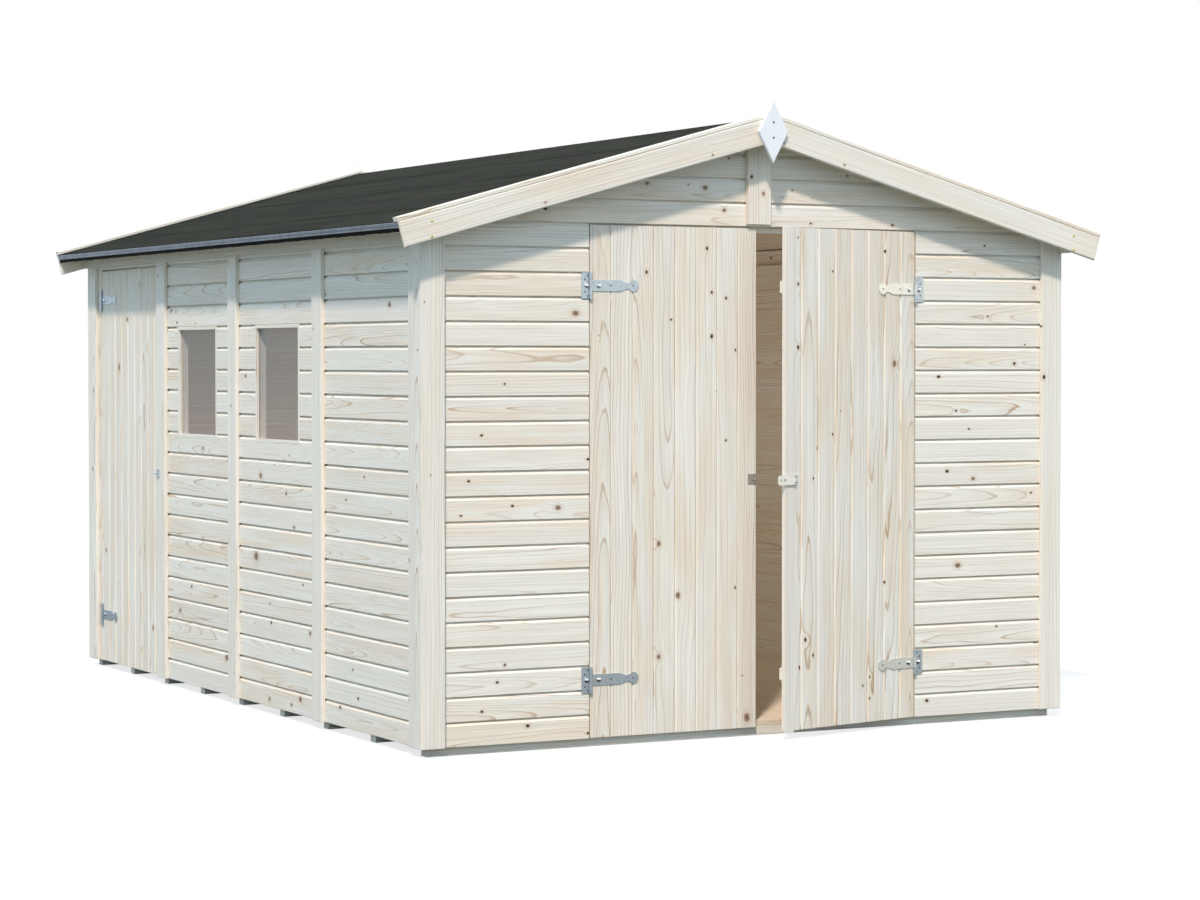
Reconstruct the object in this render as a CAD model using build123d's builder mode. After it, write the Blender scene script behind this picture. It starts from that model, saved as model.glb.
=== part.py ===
"""Gable-roofed garden shed of pale softwood boards.

Millimetres. The ground under the middle of the floor is the origin, +Z is up, the gable with
the double door faces -Y, and the long wall with the windows and the single door faces -X.
"""
import os
from math import cos, radians, sin, tan

from build123d import *

os.makedirs("parts", exist_ok=True)

# Walls, measured over the corner boards
wall_width = 2720
wall_length = 3668
wall_foot = 30
board_course = 87.75
cladding_thickness = 20
trim_width = 92
trim_thickness = 16

# Floor
bearer_count = 9
bearer_width = 45
bearer_height = 38
floor_thickness = 16

# Framing behind the boards
stud_width = 45
stud_depth = 28

# Roof
roof_pitch = 15.5
gable_shoulder = 8
eaves_overhang = 124
gable_overhang = 85
cap_thickness = 15
cap_width = 45
bargeboard_depth = 92
bargeboard_thickness = 16
felt_thickness = 3
deck_thickness = 16
drip_thickness = 3
drip_depth = 20
drip_setback = 3
eaves_board_gap = 12
ridge_beam_width = 44
ridge_beam_depth = 120
purlin_width = 44
purlin_depth = 70
purlin_reach = 680

# Apex strip and finial on each gable
apex_strip_width = 100
apex_strip_gap = 7
finial_width = 123
finial_height = 230
finial_thickness = 16
finial_drop = 70

# Doors
door_courses = 21
side_door_courses = 20
hinge_reach = 692
jamb_gap = 4
door_top_gap = 7
door_foot_gap = 2
leaf_thickness = 15
leaf_ajar = 13.5
head_stop_drop = 24
ledge_height = 44
ledge_thickness = 18
ledge_end_setback = 5
upper_hinge_drop = 223
lower_hinge_rise = 210
side_hinge_setback = 160
side_doorway_width = 768
side_meeting_gap = 6
meeting_gap = 4
edge_strip_width = 45
edge_strip_thickness = 3
edge_strip_drop = 7

# Strap hinges
hinge_thickness = 3
hinge_plate_width = 35
hinge_plate_height = 93
knuckle_radius = 6
knuckle_face_gap = 0.5
knuckle_gap = 0.6
knuckle_plate_gap = 1
pin_radius = 3
pin_clearance = 0.1
pin_tail = 5
strap_height = 40
strap_straight = 122
strap_neck_reach = 143
strap_neck_height = 23
strap_length = 196
strap_end_radius = 21

# Hasp on the right leaf and staples
hasp_rise = 917
hasp_setback = 54
hasp_plate_width = 14
hasp_strap_length = 90
hasp_strap_height = 36
hasp_strap_root = 6
hasp_end_radius = 9
hasp_thickness = 2.5
hasp_knuckle_radius = 4
hasp_pin_radius = 2
hasp_pin_clearance = 0.1
hasp_knuckle_height = 14
slot_length = 29
slot_height = 8
slot_tip_margin = 12
staple_plate_width = 34
staple_plate_height = 38
staple_plate_thickness = 2
staple_edge_margin = 1
staple_loop_setback = 9
staple_wire = 4
staple_span = 10
staple_reach = 18
staple_bend = 2
side_staple_rise = 867
side_staple_setback = 12

# Windows in the long wall
window_side = 433
lining_thickness = 14
window_sill_courses = 12
window_drop = 9
lining_depth = 41
pane_setback = 11
pane_thickness = 4

# Panel joints and window middles, as shares of the long wall from its front corner to the side doorway
joint_shares = (0.3466, 0.6706)
window_shares = (0.5066, 0.8324)
door_trim_width = 104

# Levels and lines that follow from the sizes above
front_y = -wall_length / 2
back_y = wall_length / 2
side_x = wall_width / 2
clad_x = side_x - trim_thickness
inner_x = clad_x - cladding_thickness
clad_front_y = front_y + trim_thickness
inner_front_y = clad_front_y + cladding_thickness
clad_back_y = back_y - trim_thickness
inner_back_y = clad_back_y - cladding_thickness
floor_top = bearer_height + floor_thickness
door_head = wall_foot + door_courses * board_course
side_door_head = wall_foot + side_door_courses * board_course
door_foot = wall_foot + door_foot_gap
panel_edge_x = hinge_reach + jamb_gap
slope_cos = cos(radians(roof_pitch))
slope_sin = sin(radians(roof_pitch))
slope_tan = tan(radians(roof_pitch))
eaves_reach = side_x + eaves_overhang
slope_length = eaves_reach / slope_cos
felt_depth = cap_thickness
deck_depth = felt_depth + felt_thickness
soffit_depth = deck_depth + deck_thickness
ridge_height = door_head + gable_shoulder + inner_x * slope_tan + soffit_depth / slope_cos
apex_strip_foot = door_head + apex_strip_gap
finial_middle_height = ridge_height - finial_drop
upper_hinge_height = door_head - upper_hinge_drop
lower_hinge_height = wall_foot + lower_hinge_rise
hasp_height = wall_foot + hasp_rise
side_staple_height = wall_foot + side_staple_rise
window_foot = wall_foot + window_sill_courses * board_course - window_drop
barge_front_y = front_y - gable_overhang
barge_back_y = back_y + gable_overhang
deck_front_y = barge_front_y + bargeboard_thickness
deck_back_y = barge_back_y - bargeboard_thickness
face_depth = knuckle_radius + knuckle_face_gap


def roof_line(x, depth):
    """Height at x of the line that lies depth below the top of the cap strips, square to the slope."""
    return ridge_height - depth / slope_cos - abs(x) * slope_tan


def roof_end(side, reach, depth):
    """Point at a distance down the slope and a depth square to it, on the left (-1) or right (1)."""
    x = reach * slope_cos - depth * slope_sin
    return (side * x, ridge_height - reach * slope_sin - depth * slope_cos)


def slope_section(side, top_depth, foot_depth, reach):
    """Section of a roof layer from the ridge to its end, which is cut square to the slope."""
    return [
        (0, roof_line(0, top_depth)),
        roof_end(side, reach, top_depth),
        roof_end(side, reach, foot_depth),
        (0, roof_line(0, foot_depth)),
    ]


def rectangle(low_a, high_a, low_b, high_b):
    return [(low_a, low_b), (high_a, low_b), (high_a, high_b), (low_a, high_b)]


def save(node, label):
    node.part.label = label
    export_step(node.part, f"parts/{label}.step")


def boards_across(label, boards):
    """A node of boards, each an outline in X and Z with holes, running from one Y to another."""
    with BuildPart() as node:
        for outline, holes, y_start, y_end in boards:
            with BuildSketch(Plane.XZ.offset(-y_end)):
                with BuildLine():
                    Polyline(*outline, close=True)
                make_face()
                for hole in holes:
                    with BuildLine():
                        Polyline(*hole, close=True)
                    make_face(mode=Mode.SUBTRACT)
            extrude(amount=y_end - y_start)
    save(node, label)
    return node


def boards_along(label, boards):
    """A node of boards, each an outline in Y and Z with holes, running from one X to another."""
    with BuildPart() as node:
        for outline, holes, x_start, x_end in boards:
            with BuildSketch(Plane.YZ.offset(x_start)):
                with BuildLine():
                    Polyline(*outline, close=True)
                make_face()
                for hole in holes:
                    with BuildLine():
                        Polyline(*hole, close=True)
                    make_face(mode=Mode.SUBTRACT)
            extrude(amount=x_end - x_start)
    save(node, label)
    return node


# Floor: bearers across the width, with one deck of boards on them
bearer_pitch = (inner_back_y - inner_front_y - bearer_width) / (bearer_count - 1)
with BuildPart() as floor_bearers:
    with GridLocations(0, bearer_pitch, 1, bearer_count):
        Box(2 * inner_x, bearer_width, bearer_height, align=(Align.CENTER, Align.CENTER, Align.MIN))
save(floor_bearers, "floor_bearers")

with BuildPart() as floor:
    with BuildSketch(Plane.XY.offset(bearer_height)):
        Rectangle(2 * inner_x, inner_back_y - inner_front_y)
    extrude(amount=floor_thickness)
save(floor, "floor")

# Front wall: a clad panel each side of the doorway and the clad gable over them
front_panels = [
    rectangle(side * panel_edge_x, side * inner_x, wall_foot, door_head)
    for side in (-1, 1)
]
boards_across("front_panels", [(panel, [], clad_front_y, inner_front_y) for panel in front_panels])

gable_outline = [
    (-inner_x, door_head),
    (inner_x, door_head),
    (inner_x, roof_line(inner_x, soffit_depth)),
    (0, roof_line(0, soffit_depth)),
    (-inner_x, roof_line(inner_x, soffit_depth)),
]
boards_across("front_gable", [(gable_outline, [], clad_front_y, inner_front_y)])

# Back wall, one clad sheet up to the roof
back_outline = [
    (-inner_x, wall_foot),
    (inner_x, wall_foot),
    (inner_x, roof_line(inner_x, soffit_depth)),
    (0, roof_line(0, soffit_depth)),
    (-inner_x, roof_line(inner_x, soffit_depth)),
]
boards_across("back_wall", [(back_outline, [], inner_back_y, clad_back_y)])

# Long walls: clad panels that meet under the trims, with the side doorway at the back of the left
side_door_y = back_y - side_hinge_setback
doorway_back_y = side_door_y + jamb_gap
doorway_front_y = doorway_back_y - side_doorway_width
wall_run = doorway_front_y - front_y
joint_y = [front_y + share * wall_run for share in joint_shares]
panel_top = roof_line(clad_x, soffit_depth)
eaves_board_foot = side_door_head + eaves_board_gap
window_y = [front_y + share * wall_run for share in window_shares]
opening_half = window_side / 2 + lining_thickness
window_openings = [
    rectangle(y - opening_half, y + opening_half, window_foot - lining_thickness,
              window_foot + window_side + lining_thickness)
    for y in window_y
]
left_panels = {
    "left_panel_front": (clad_front_y, joint_y[0], wall_foot, []),
    "left_panel_window_front": (joint_y[0], joint_y[1], wall_foot, [window_openings[0]]),
    "left_panel_window_back": (joint_y[1], doorway_front_y, wall_foot, [window_openings[1]]),
    "left_panel_over_door": (doorway_front_y, doorway_back_y, side_door_head, []),
    "left_panel_back": (doorway_back_y, clad_back_y, wall_foot, []),
}
for label, (y_start, y_end, foot, holes) in left_panels.items():
    boards_along(label, [(rectangle(y_start, y_end, foot, panel_top), holes, -clad_x, -inner_x)])

right_sheet = rectangle(clad_front_y, clad_back_y, wall_foot, panel_top)
boards_along("right_wall", [(right_sheet, [], inner_x, clad_x)])

# Window linings through the wall, with a pane set back in each
linings = []
panes = []
for y, opening in zip(window_y, window_openings):
    glass = rectangle(y - window_side / 2, y + window_side / 2, window_foot, window_foot + window_side)
    linings.append((opening, [glass], -clad_x, -clad_x + lining_depth))
    panes.append((glass, [], -clad_x + pane_setback, -clad_x + pane_setback + pane_thickness))
boards_along("window_linings", linings)
boards_along("window_panes", panes)

# Framing behind the boards: studs on the floor, rails between their feet and over their heads
frame_x = inner_x - stud_depth
gable_rail_foot = door_head - head_stop_drop
gable_rail_top = roof_line(frame_x, soffit_depth)
side_rail_foot = side_door_head - head_stop_drop
rail_top = floor_top + stud_width
front_frame_y = (inner_front_y, inner_front_y + stud_depth)
back_frame_y = (inner_back_y - stud_depth, inner_back_y)
corner_studs = [(-frame_x, -frame_x + stud_width), (frame_x - stud_width, frame_x)]
jamb_studs = [(-panel_edge_x - stud_width, -panel_edge_x), (panel_edge_x, panel_edge_x + stud_width)]
middle_stud = (-stud_width / 2, stud_width / 2)
gable_studs = []
gable_rails = []
for studs, doorway, frame_y in (
    (sorted(corner_studs + jamb_studs), True, front_frame_y),
    (sorted(corner_studs + [middle_stud]), False, back_frame_y),
):
    for start, end in studs:
        gable_studs.append((rectangle(start, end, floor_top, gable_rail_foot), [], *frame_y))
    for (_, start), (end, _) in zip(studs, studs[1:]):
        if not (doorway and start < 0 < end):
            gable_rails.append((rectangle(start, end, floor_top, rail_top), [], *frame_y))
    gable_rails.append((rectangle(-frame_x, frame_x, gable_rail_foot, gable_rail_top), [], *frame_y))
boards_across("gable_studs", gable_studs)
boards_across("gable_rails", gable_rails)

side_stud_spans = [
    (inner_front_y, inner_front_y + stud_width),
    (joint_y[0] - stud_width / 2, joint_y[0] + stud_width / 2),
    (joint_y[1] - stud_width / 2, joint_y[1] + stud_width / 2),
    (doorway_front_y - stud_width, doorway_front_y),
    (doorway_back_y, doorway_back_y + stud_width),
    (inner_back_y - stud_width, inner_back_y),
]
side_studs = []
side_rails = []
for doorway, frame_span in ((True, (-inner_x, -frame_x)), (False, (frame_x, inner_x))):
    for start, end in side_stud_spans:
        side_studs.append((rectangle(start, end, floor_top, side_rail_foot), [], *frame_span))
    for (_, start), (end, _) in zip(side_stud_spans, side_stud_spans[1:]):
        if not (doorway and start == doorway_front_y):
            side_rails.append((rectangle(start, end, floor_top, rail_top), [], *frame_span))
    head = rectangle(inner_front_y, inner_back_y, side_rail_foot, side_rail_foot + stud_width)
    side_rails.append((head, [], *frame_span))
boards_along("side_studs", side_studs)
boards_along("side_rails", side_rails)

# Corner boards on both gables, notched at the top for the eaves boards
corner_boards = []
for side in (-1, 1):
    corner_boards.append([
        (side * (side_x - trim_width), wall_foot),
        (side * side_x, wall_foot),
        (side * side_x, eaves_board_foot),
        (side * clad_x, eaves_board_foot),
        (side * clad_x, roof_line(clad_x, soffit_depth)),
        (side * (side_x - trim_width), roof_line(side_x - trim_width, soffit_depth)),
    ])
gable_faces = ((front_y, clad_front_y), (clad_back_y, back_y))
boards_across("corner_boards", [
    (board, [], y_start, y_end)
    for board in corner_boards
    for y_start, y_end in gable_faces
])

# Trims on the long walls: at both corners, over the panel joints and beside the side doorway
trim_edges = [
    (clad_front_y, clad_front_y + trim_width),
    (joint_y[0] - trim_width / 2, joint_y[0] + trim_width / 2),
    (joint_y[1] - trim_width / 2, joint_y[1] + trim_width / 2),
    (doorway_front_y - door_trim_width, doorway_front_y),
    (clad_back_y - trim_width, clad_back_y),
]
trims = [rectangle(start, end, wall_foot, eaves_board_foot) for start, end in trim_edges]
boards_along("wall_trims", [
    (trim, [], x_start, x_end)
    for trim in trims
    for x_start, x_end in ((-side_x, -clad_x), (clad_x, side_x))
])

# Eaves boards along the tops of the long walls, out to the bargeboards
eaves_boards = []
for side in (-1, 1):
    eaves_boards.append([
        (side * clad_x, eaves_board_foot),
        (side * side_x, eaves_board_foot),
        (side * side_x, roof_line(side_x, soffit_depth)),
        (side * clad_x, roof_line(clad_x, soffit_depth)),
    ])
boards_across("eaves_boards", [(board, [], deck_front_y, deck_back_y) for board in eaves_boards])

# Upright strip at the middle of each gable
apex_strip = [
    (-apex_strip_width / 2, apex_strip_foot),
    (apex_strip_width / 2, apex_strip_foot),
    (apex_strip_width / 2, roof_line(apex_strip_width / 2, soffit_depth)),
    (0, roof_line(0, soffit_depth)),
    (-apex_strip_width / 2, roof_line(apex_strip_width / 2, soffit_depth)),
]
boards_across("apex_strips", [(apex_strip, [], y_start, y_end) for y_start, y_end in gable_faces])

# Ridge beam and purlins between the gables
ridge_half = ridge_beam_width / 2
ridge_beam = [
    (-ridge_half, roof_line(0, soffit_depth) - ridge_beam_depth),
    (ridge_half, roof_line(0, soffit_depth) - ridge_beam_depth),
    (ridge_half, roof_line(ridge_half, soffit_depth)),
    (0, roof_line(0, soffit_depth)),
    (-ridge_half, roof_line(ridge_half, soffit_depth)),
]
roof_beams = [(ridge_beam, [], inner_front_y, inner_back_y)]
for side in (-1, 1):
    near_x = purlin_reach - purlin_width / 2
    far_x = purlin_reach + purlin_width / 2
    purlin_foot = roof_line(far_x, soffit_depth) - purlin_depth
    purlin = [
        (side * near_x, purlin_foot),
        (side * far_x, purlin_foot),
        (side * far_x, roof_line(far_x, soffit_depth)),
        (side * near_x, roof_line(near_x, soffit_depth)),
    ]
    roof_beams.append((purlin, [], inner_front_y, inner_back_y))
boards_across("roof_beams", roof_beams)

# Roof slopes: boarded deck, felt over it, metal drip edge along the eaves
felt_reach = slope_length - drip_setback
deck_reach = felt_reach - drip_thickness
drip_edges = []
for side, side_name in ((-1, "left"), (1, "right")):
    deck = slope_section(side, deck_depth, soffit_depth, deck_reach)
    boards_across(f"{side_name}_roof_deck", [(deck, [], deck_front_y, deck_back_y)])
    felt = slope_section(side, felt_depth, deck_depth, felt_reach)
    boards_across(f"{side_name}_roof_felt", [(felt, [], deck_front_y, deck_back_y)])
    drip_edges.append([
        roof_end(side, deck_reach, deck_depth),
        roof_end(side, felt_reach, deck_depth),
        roof_end(side, felt_reach, deck_depth + drip_depth),
        roof_end(side, deck_reach, deck_depth + drip_depth),
    ])
boards_across("drip_edges", [(drip, [], deck_front_y, deck_back_y) for drip in drip_edges])

# Bargeboards mitred at the apex, with cap strips on them and over the edge of the felt
barge_faces = ((barge_front_y, 1), (barge_back_y, -1))
for side, side_name in ((-1, "left"), (1, "right")):
    barge = slope_section(side, cap_thickness, cap_thickness + bargeboard_depth, slope_length)
    boards_across(f"{side_name}_bargeboards", [
        (barge, [], *sorted((face_y, face_y + inward * bargeboard_thickness)))
        for face_y, inward in barge_faces
    ])
    cap = slope_section(side, 0, cap_thickness, slope_length)
    boards_across(f"{side_name}_caps", [
        (cap, [], *sorted((face_y, face_y + inward * cap_width)))
        for face_y, inward in barge_faces
    ])

# Diamond finials on the bargeboards at each apex
finial = [
    (0, finial_middle_height - finial_height / 2),
    (finial_width / 2, finial_middle_height),
    (0, finial_middle_height + finial_height / 2),
    (-finial_width / 2, finial_middle_height),
]
boards_across("finials", [
    (finial, [], *sorted((face_y - inward * finial_thickness, face_y)))
    for face_y, inward in barge_faces
])

# Doors. Each hangs on a plane at its hinge line: local x runs from the hinges to the free edge.
# The way into the shed is local +y on the left and side doors, and local -y on the right door.
hinge_y = clad_front_y - face_depth
left_hinge = Plane(origin=(-hinge_reach, hinge_y, 0), x_dir=(1, 0, 0), z_dir=(0, 0, 1))
right_shut = Plane(origin=(hinge_reach, hinge_y, 0), x_dir=(-1, 0, 0), z_dir=(0, 0, 1))
right_hinge = Plane(
    origin=(hinge_reach, hinge_y, 0),
    x_dir=(-cos(radians(leaf_ajar)), -sin(radians(leaf_ajar)), 0),
    z_dir=(0, 0, 1),
)
side_hinge = Plane(origin=(-clad_x - face_depth, side_door_y, 0), x_dir=(0, -1, 0), z_dir=(0, 0, 1))
front_leaf_reach = hinge_reach - meeting_gap
side_leaf_reach = side_doorway_width - jamb_gap - side_meeting_gap
hinge_heights = (lower_hinge_height, upper_hinge_height)


def face_plane(hinge, inward, depth):
    """Upright plane along a leaf, at a depth in from the hinge line, with local y up."""
    return Plane(
        origin=hinge.from_local_coords((0, inward * depth, 0)),
        x_dir=hinge.x_dir,
        z_dir=hinge.y_dir * -1,
    )


def door_leaf(label, hinge, inward, reach, top, strip_width=0):
    """The boarded leaf, from the hinge gap to its free edge. A strip may run down that edge."""
    with BuildPart() as leaf:
        with BuildSketch(face_plane(hinge, inward, face_depth)):
            with BuildLine():
                Polyline(*rectangle(jamb_gap, reach, door_foot, top), close=True)
            make_face()
        extrude(amount=-inward * leaf_thickness)
        if strip_width > 0:
            with BuildSketch(face_plane(hinge, inward, face_depth)):
                with BuildLine():
                    foot = door_foot - edge_strip_drop
                    Polyline(*rectangle(reach - strip_width, reach, foot, top), close=True)
                make_face()
            extrude(amount=inward * edge_strip_thickness)
    save(leaf, label)


def door_ledges(label, hinge, inward, reach):
    """Two ledges across the back of a leaf, behind its hinges."""
    with BuildPart() as ledges:
        for height in hinge_heights:
            with BuildSketch(face_plane(hinge, inward, face_depth + leaf_thickness)):
                with BuildLine():
                    Polyline(
                        *rectangle(jamb_gap + ledge_end_setback, reach - ledge_end_setback,
                                   height - ledge_height / 2, height + ledge_height / 2),
                        close=True,
                    )
                make_face()
            extrude(amount=-inward * ledge_thickness)
    save(ledges, label)


def hinge_straps(label, hinge, inward):
    """The straps of a leaf's two hinges: a waisted strap with a round end and a bored knuckle."""
    with BuildPart() as straps:
        for height in hinge_heights:
            with BuildSketch(face_plane(hinge, inward, face_depth)):
                with BuildLine():
                    Polyline(
                        (0, height - strap_height / 2),
                        (strap_straight, height - strap_height / 2),
                        (strap_neck_reach, height - strap_neck_height / 2),
                        (strap_length - strap_end_radius, height - strap_neck_height / 2),
                        (strap_length - strap_end_radius, height + strap_neck_height / 2),
                        (strap_neck_reach, height + strap_neck_height / 2),
                        (strap_straight, height + strap_height / 2),
                        (0, height + strap_height / 2),
                        close=True,
                    )
                make_face()
                with Locations((strap_length - strap_end_radius, height)):
                    Circle(strap_end_radius)
            extrude(amount=inward * hinge_thickness)
            with BuildSketch(hinge.offset(height - strap_height / 2)):
                Circle(knuckle_radius)
            extrude(amount=strap_height)
            with BuildSketch(hinge.offset(height - strap_height / 2)):
                Circle(pin_radius + pin_clearance)
            extrude(amount=strap_height, mode=Mode.SUBTRACT)
    save(straps, label)


def hinge_plates(label, doors):
    """The fixed plates beside each door: a plate with two knuckles and the pin through them."""
    knuckle_start = strap_height / 2 + knuckle_gap
    knuckle_length = hinge_plate_height / 2 - knuckle_start
    with BuildPart() as plates:
        for hinge, inward in doors:
            for height in hinge_heights:
                with BuildSketch(face_plane(hinge, inward, face_depth)):
                    with BuildLine():
                        Polyline(
                            *rectangle(-hinge_plate_width, -knuckle_radius - knuckle_plate_gap,
                                       height - hinge_plate_height / 2, height + hinge_plate_height / 2),
                            close=True,
                        )
                    make_face()
                    for foot in (height - hinge_plate_height / 2, height + knuckle_start):
                        with BuildLine():
                            Polyline(*rectangle(-hinge_plate_width, 0, foot, foot + knuckle_length),
                                     close=True)
                        make_face()
                extrude(amount=inward * hinge_thickness)
                for foot in (height - hinge_plate_height / 2, height + knuckle_start):
                    with BuildSketch(hinge.offset(foot)):
                        Circle(knuckle_radius)
                    extrude(amount=knuckle_length)
                with BuildSketch(hinge.offset(height - hinge_plate_height / 2 - pin_tail)):
                    Circle(pin_radius)
                extrude(amount=hinge_plate_height + pin_tail)
    save(plates, label)


def staple(label, plane, inward):
    """A screw plate with a bent loop. Local x and y of the plane lie in the plate's back."""
    with BuildPart() as loop:
        with BuildSketch(plane):
            with Locations((staple_loop_setback - staple_edge_margin - staple_plate_width / 2, 0)):
                Rectangle(staple_plate_width, staple_plate_height)
        extrude(amount=inward * staple_plate_thickness)
        loop_plane = Plane(origin=plane.origin, x_dir=plane.x_dir, z_dir=plane.y_dir)
        for width, reach, corner, mode in (
            (staple_span + staple_wire, staple_reach, staple_bend + staple_wire, Mode.ADD),
            (staple_span - staple_wire, staple_reach - staple_wire, staple_bend, Mode.SUBTRACT),
        ):
            foot = staple_plate_thickness if mode == Mode.SUBTRACT else 0
            with BuildSketch(loop_plane):
                with BuildLine():
                    FilletPolyline(
                        (-width / 2, -inward * foot),
                        (-width / 2, -inward * reach),
                        (width / 2, -inward * reach),
                        (width / 2, -inward * foot),
                        radius=corner,
                    )
                    Line((width / 2, -inward * foot), (-width / 2, -inward * foot))
                make_face()
            extrude(amount=staple_wire / 2, both=True, mode=mode)
    save(loop, label)


leaf_top = door_head - door_top_gap
side_leaf_top = side_door_head - door_top_gap
door_leaf("left_leaf", left_hinge, 1, front_leaf_reach, leaf_top)
door_leaf("right_leaf", right_hinge, -1, front_leaf_reach, leaf_top, edge_strip_width)
door_leaf("side_leaf", side_hinge, 1, side_leaf_reach, side_leaf_top)
door_ledges("left_ledges", left_hinge, 1, front_leaf_reach)
door_ledges("right_ledges", right_hinge, -1, front_leaf_reach)
door_ledges("side_ledges", side_hinge, 1, side_leaf_reach)
hinge_straps("left_hinge_straps", left_hinge, 1)
hinge_straps("right_hinge_straps", right_hinge, -1)
hinge_straps("side_hinge_straps", side_hinge, 1)
hinge_plates("hinge_plates", [(left_hinge, 1), (right_shut, -1), (side_hinge, 1)])

# Staple near the free edge of the left leaf, and one on the trim beside the side doorway
left_face = face_plane(left_hinge, 1, face_depth)
staple_x = front_leaf_reach - staple_loop_setback
staple("left_staple", Plane(left_face.from_local_coords((staple_x, hasp_height, 0)), left_face.x_dir,
                            left_face.z_dir), 1)
side_staple_y = doorway_front_y - side_staple_setback
staple("side_staple", Plane((-side_x, side_staple_y, side_staple_height), (0, 1, 0), (-1, 0, 0)), 1)

# Hasp on the right leaf: a plate with two knuckles and a pin, and a slotted strap that swings on it
hasp_x = hinge_reach - hasp_setback
hasp_depth = face_depth - hasp_knuckle_radius - knuckle_face_gap
hasp_pin = Plane(
    origin=right_hinge.from_local_coords((hasp_x, -hasp_depth, 0)),
    x_dir=right_hinge.x_dir,
    z_dir=right_hinge.z_dir,
)
strap_knuckle_foot = hasp_height - hasp_knuckle_height / 2
hasp_foot = hasp_height - hasp_strap_height / 2
outer_knuckle_height = (hasp_strap_height - hasp_knuckle_height) / 2 - knuckle_gap
hasp_knuckle_feet = (hasp_foot, hasp_foot + hasp_strap_height - outer_knuckle_height)
with BuildPart() as right_hasp_plate:
    with BuildSketch(face_plane(right_hinge, -1, face_depth)):
        with BuildLine():
            Polyline(
                *rectangle(hasp_x - hasp_plate_width, hasp_x - hasp_knuckle_radius - knuckle_plate_gap,
                           hasp_foot, hasp_foot + hasp_strap_height),
                close=True,
            )
        make_face()
        for foot in hasp_knuckle_feet:
            with BuildLine():
                Polyline(*rectangle(hasp_x - hasp_plate_width, hasp_x, foot, foot + outer_knuckle_height),
                         close=True)
            make_face()
    extrude(amount=-hasp_thickness)
    for foot in hasp_knuckle_feet:
        with BuildSketch(hasp_pin.offset(foot)):
            Circle(hasp_knuckle_radius)
        extrude(amount=outer_knuckle_height)
    with BuildSketch(hasp_pin.offset(hasp_foot)):
        Circle(hasp_pin_radius)
    extrude(amount=hasp_strap_height)
save(right_hasp_plate, "right_hasp_plate")

with BuildPart() as right_hasp_strap:
    with BuildSketch(face_plane(hasp_pin, -1, -hasp_knuckle_radius)):
        with BuildLine():
            Polyline(
                (0, strap_knuckle_foot),
                (hasp_strap_root, strap_knuckle_foot),
                (hasp_strap_root, hasp_foot),
                (hasp_strap_length, hasp_foot),
                (hasp_strap_length, hasp_foot + hasp_strap_height),
                (hasp_strap_root, hasp_foot + hasp_strap_height),
                (hasp_strap_root, strap_knuckle_foot + hasp_knuckle_height),
                (0, strap_knuckle_foot + hasp_knuckle_height),
                close=True,
            )
        make_face()
        fillet(vertices().group_by(Axis.X)[-1], radius=hasp_end_radius)
        with Locations((hasp_strap_length - slot_tip_margin - slot_length / 2, hasp_height)):
            SlotOverall(slot_length, slot_height, mode=Mode.SUBTRACT)
    extrude(amount=hasp_thickness)
    with BuildSketch(hasp_pin.offset(strap_knuckle_foot)):
        Circle(hasp_knuckle_radius)
    extrude(amount=hasp_knuckle_height)
    with BuildSketch(hasp_pin.offset(strap_knuckle_foot)):
        Circle(hasp_pin_radius + hasp_pin_clearance)
    extrude(amount=hasp_knuckle_height, mode=Mode.SUBTRACT)
save(right_hasp_strap, "right_hasp_strap")
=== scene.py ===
import math

import bmesh
import bpy
import numpy as np
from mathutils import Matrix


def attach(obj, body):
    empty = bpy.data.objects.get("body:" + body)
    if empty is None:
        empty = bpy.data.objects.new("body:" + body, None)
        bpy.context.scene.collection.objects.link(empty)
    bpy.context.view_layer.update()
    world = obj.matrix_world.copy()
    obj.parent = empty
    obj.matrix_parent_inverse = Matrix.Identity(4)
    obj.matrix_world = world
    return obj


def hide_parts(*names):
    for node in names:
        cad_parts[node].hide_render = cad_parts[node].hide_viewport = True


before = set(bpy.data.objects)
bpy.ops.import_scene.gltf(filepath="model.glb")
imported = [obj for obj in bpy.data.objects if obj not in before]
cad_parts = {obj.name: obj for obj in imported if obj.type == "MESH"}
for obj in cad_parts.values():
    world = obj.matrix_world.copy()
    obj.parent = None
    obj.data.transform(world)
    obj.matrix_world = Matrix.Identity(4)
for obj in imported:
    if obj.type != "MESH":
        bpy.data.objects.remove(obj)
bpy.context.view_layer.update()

# Sizes of the solids, in metres: the walls and floor
FOOT = 0.030
COURSE = 0.08775
COURSES = 21
SIDE_COURSES = 20
GABLE_COURSES = 25
SIDE_X = 1.360
FRONT_Y = 1.834
BOARD = 0.016
CLADDING = 0.020
STUD = 0.045
STUD_DEPTH = 0.028
CLAD_X, CLAD_Y = SIDE_X - BOARD, FRONT_Y - BOARD
INNER_X, INNER_Y = CLAD_X - CLADDING, CLAD_Y - CLADDING
FRAME_X, FRAME_Y = INNER_X - STUD_DEPTH, INNER_Y - STUD_DEPTH
TRIM = 0.092
DOOR_TRIM = 0.104
DOOR_X = 0.696
DOOR_HEAD = FOOT + COURSES * COURSE
SIDE_HEAD = FOOT + SIDE_COURSES * COURSE
HEAD_LAP = 0.024
EAVES_FOOT = SIDE_HEAD + 0.012
BEARERS = 9
BEARER_TOP = 0.038
FLOOR_TOP = BEARER_TOP + 0.016
FLOOR_BOARDS = 28

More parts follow.
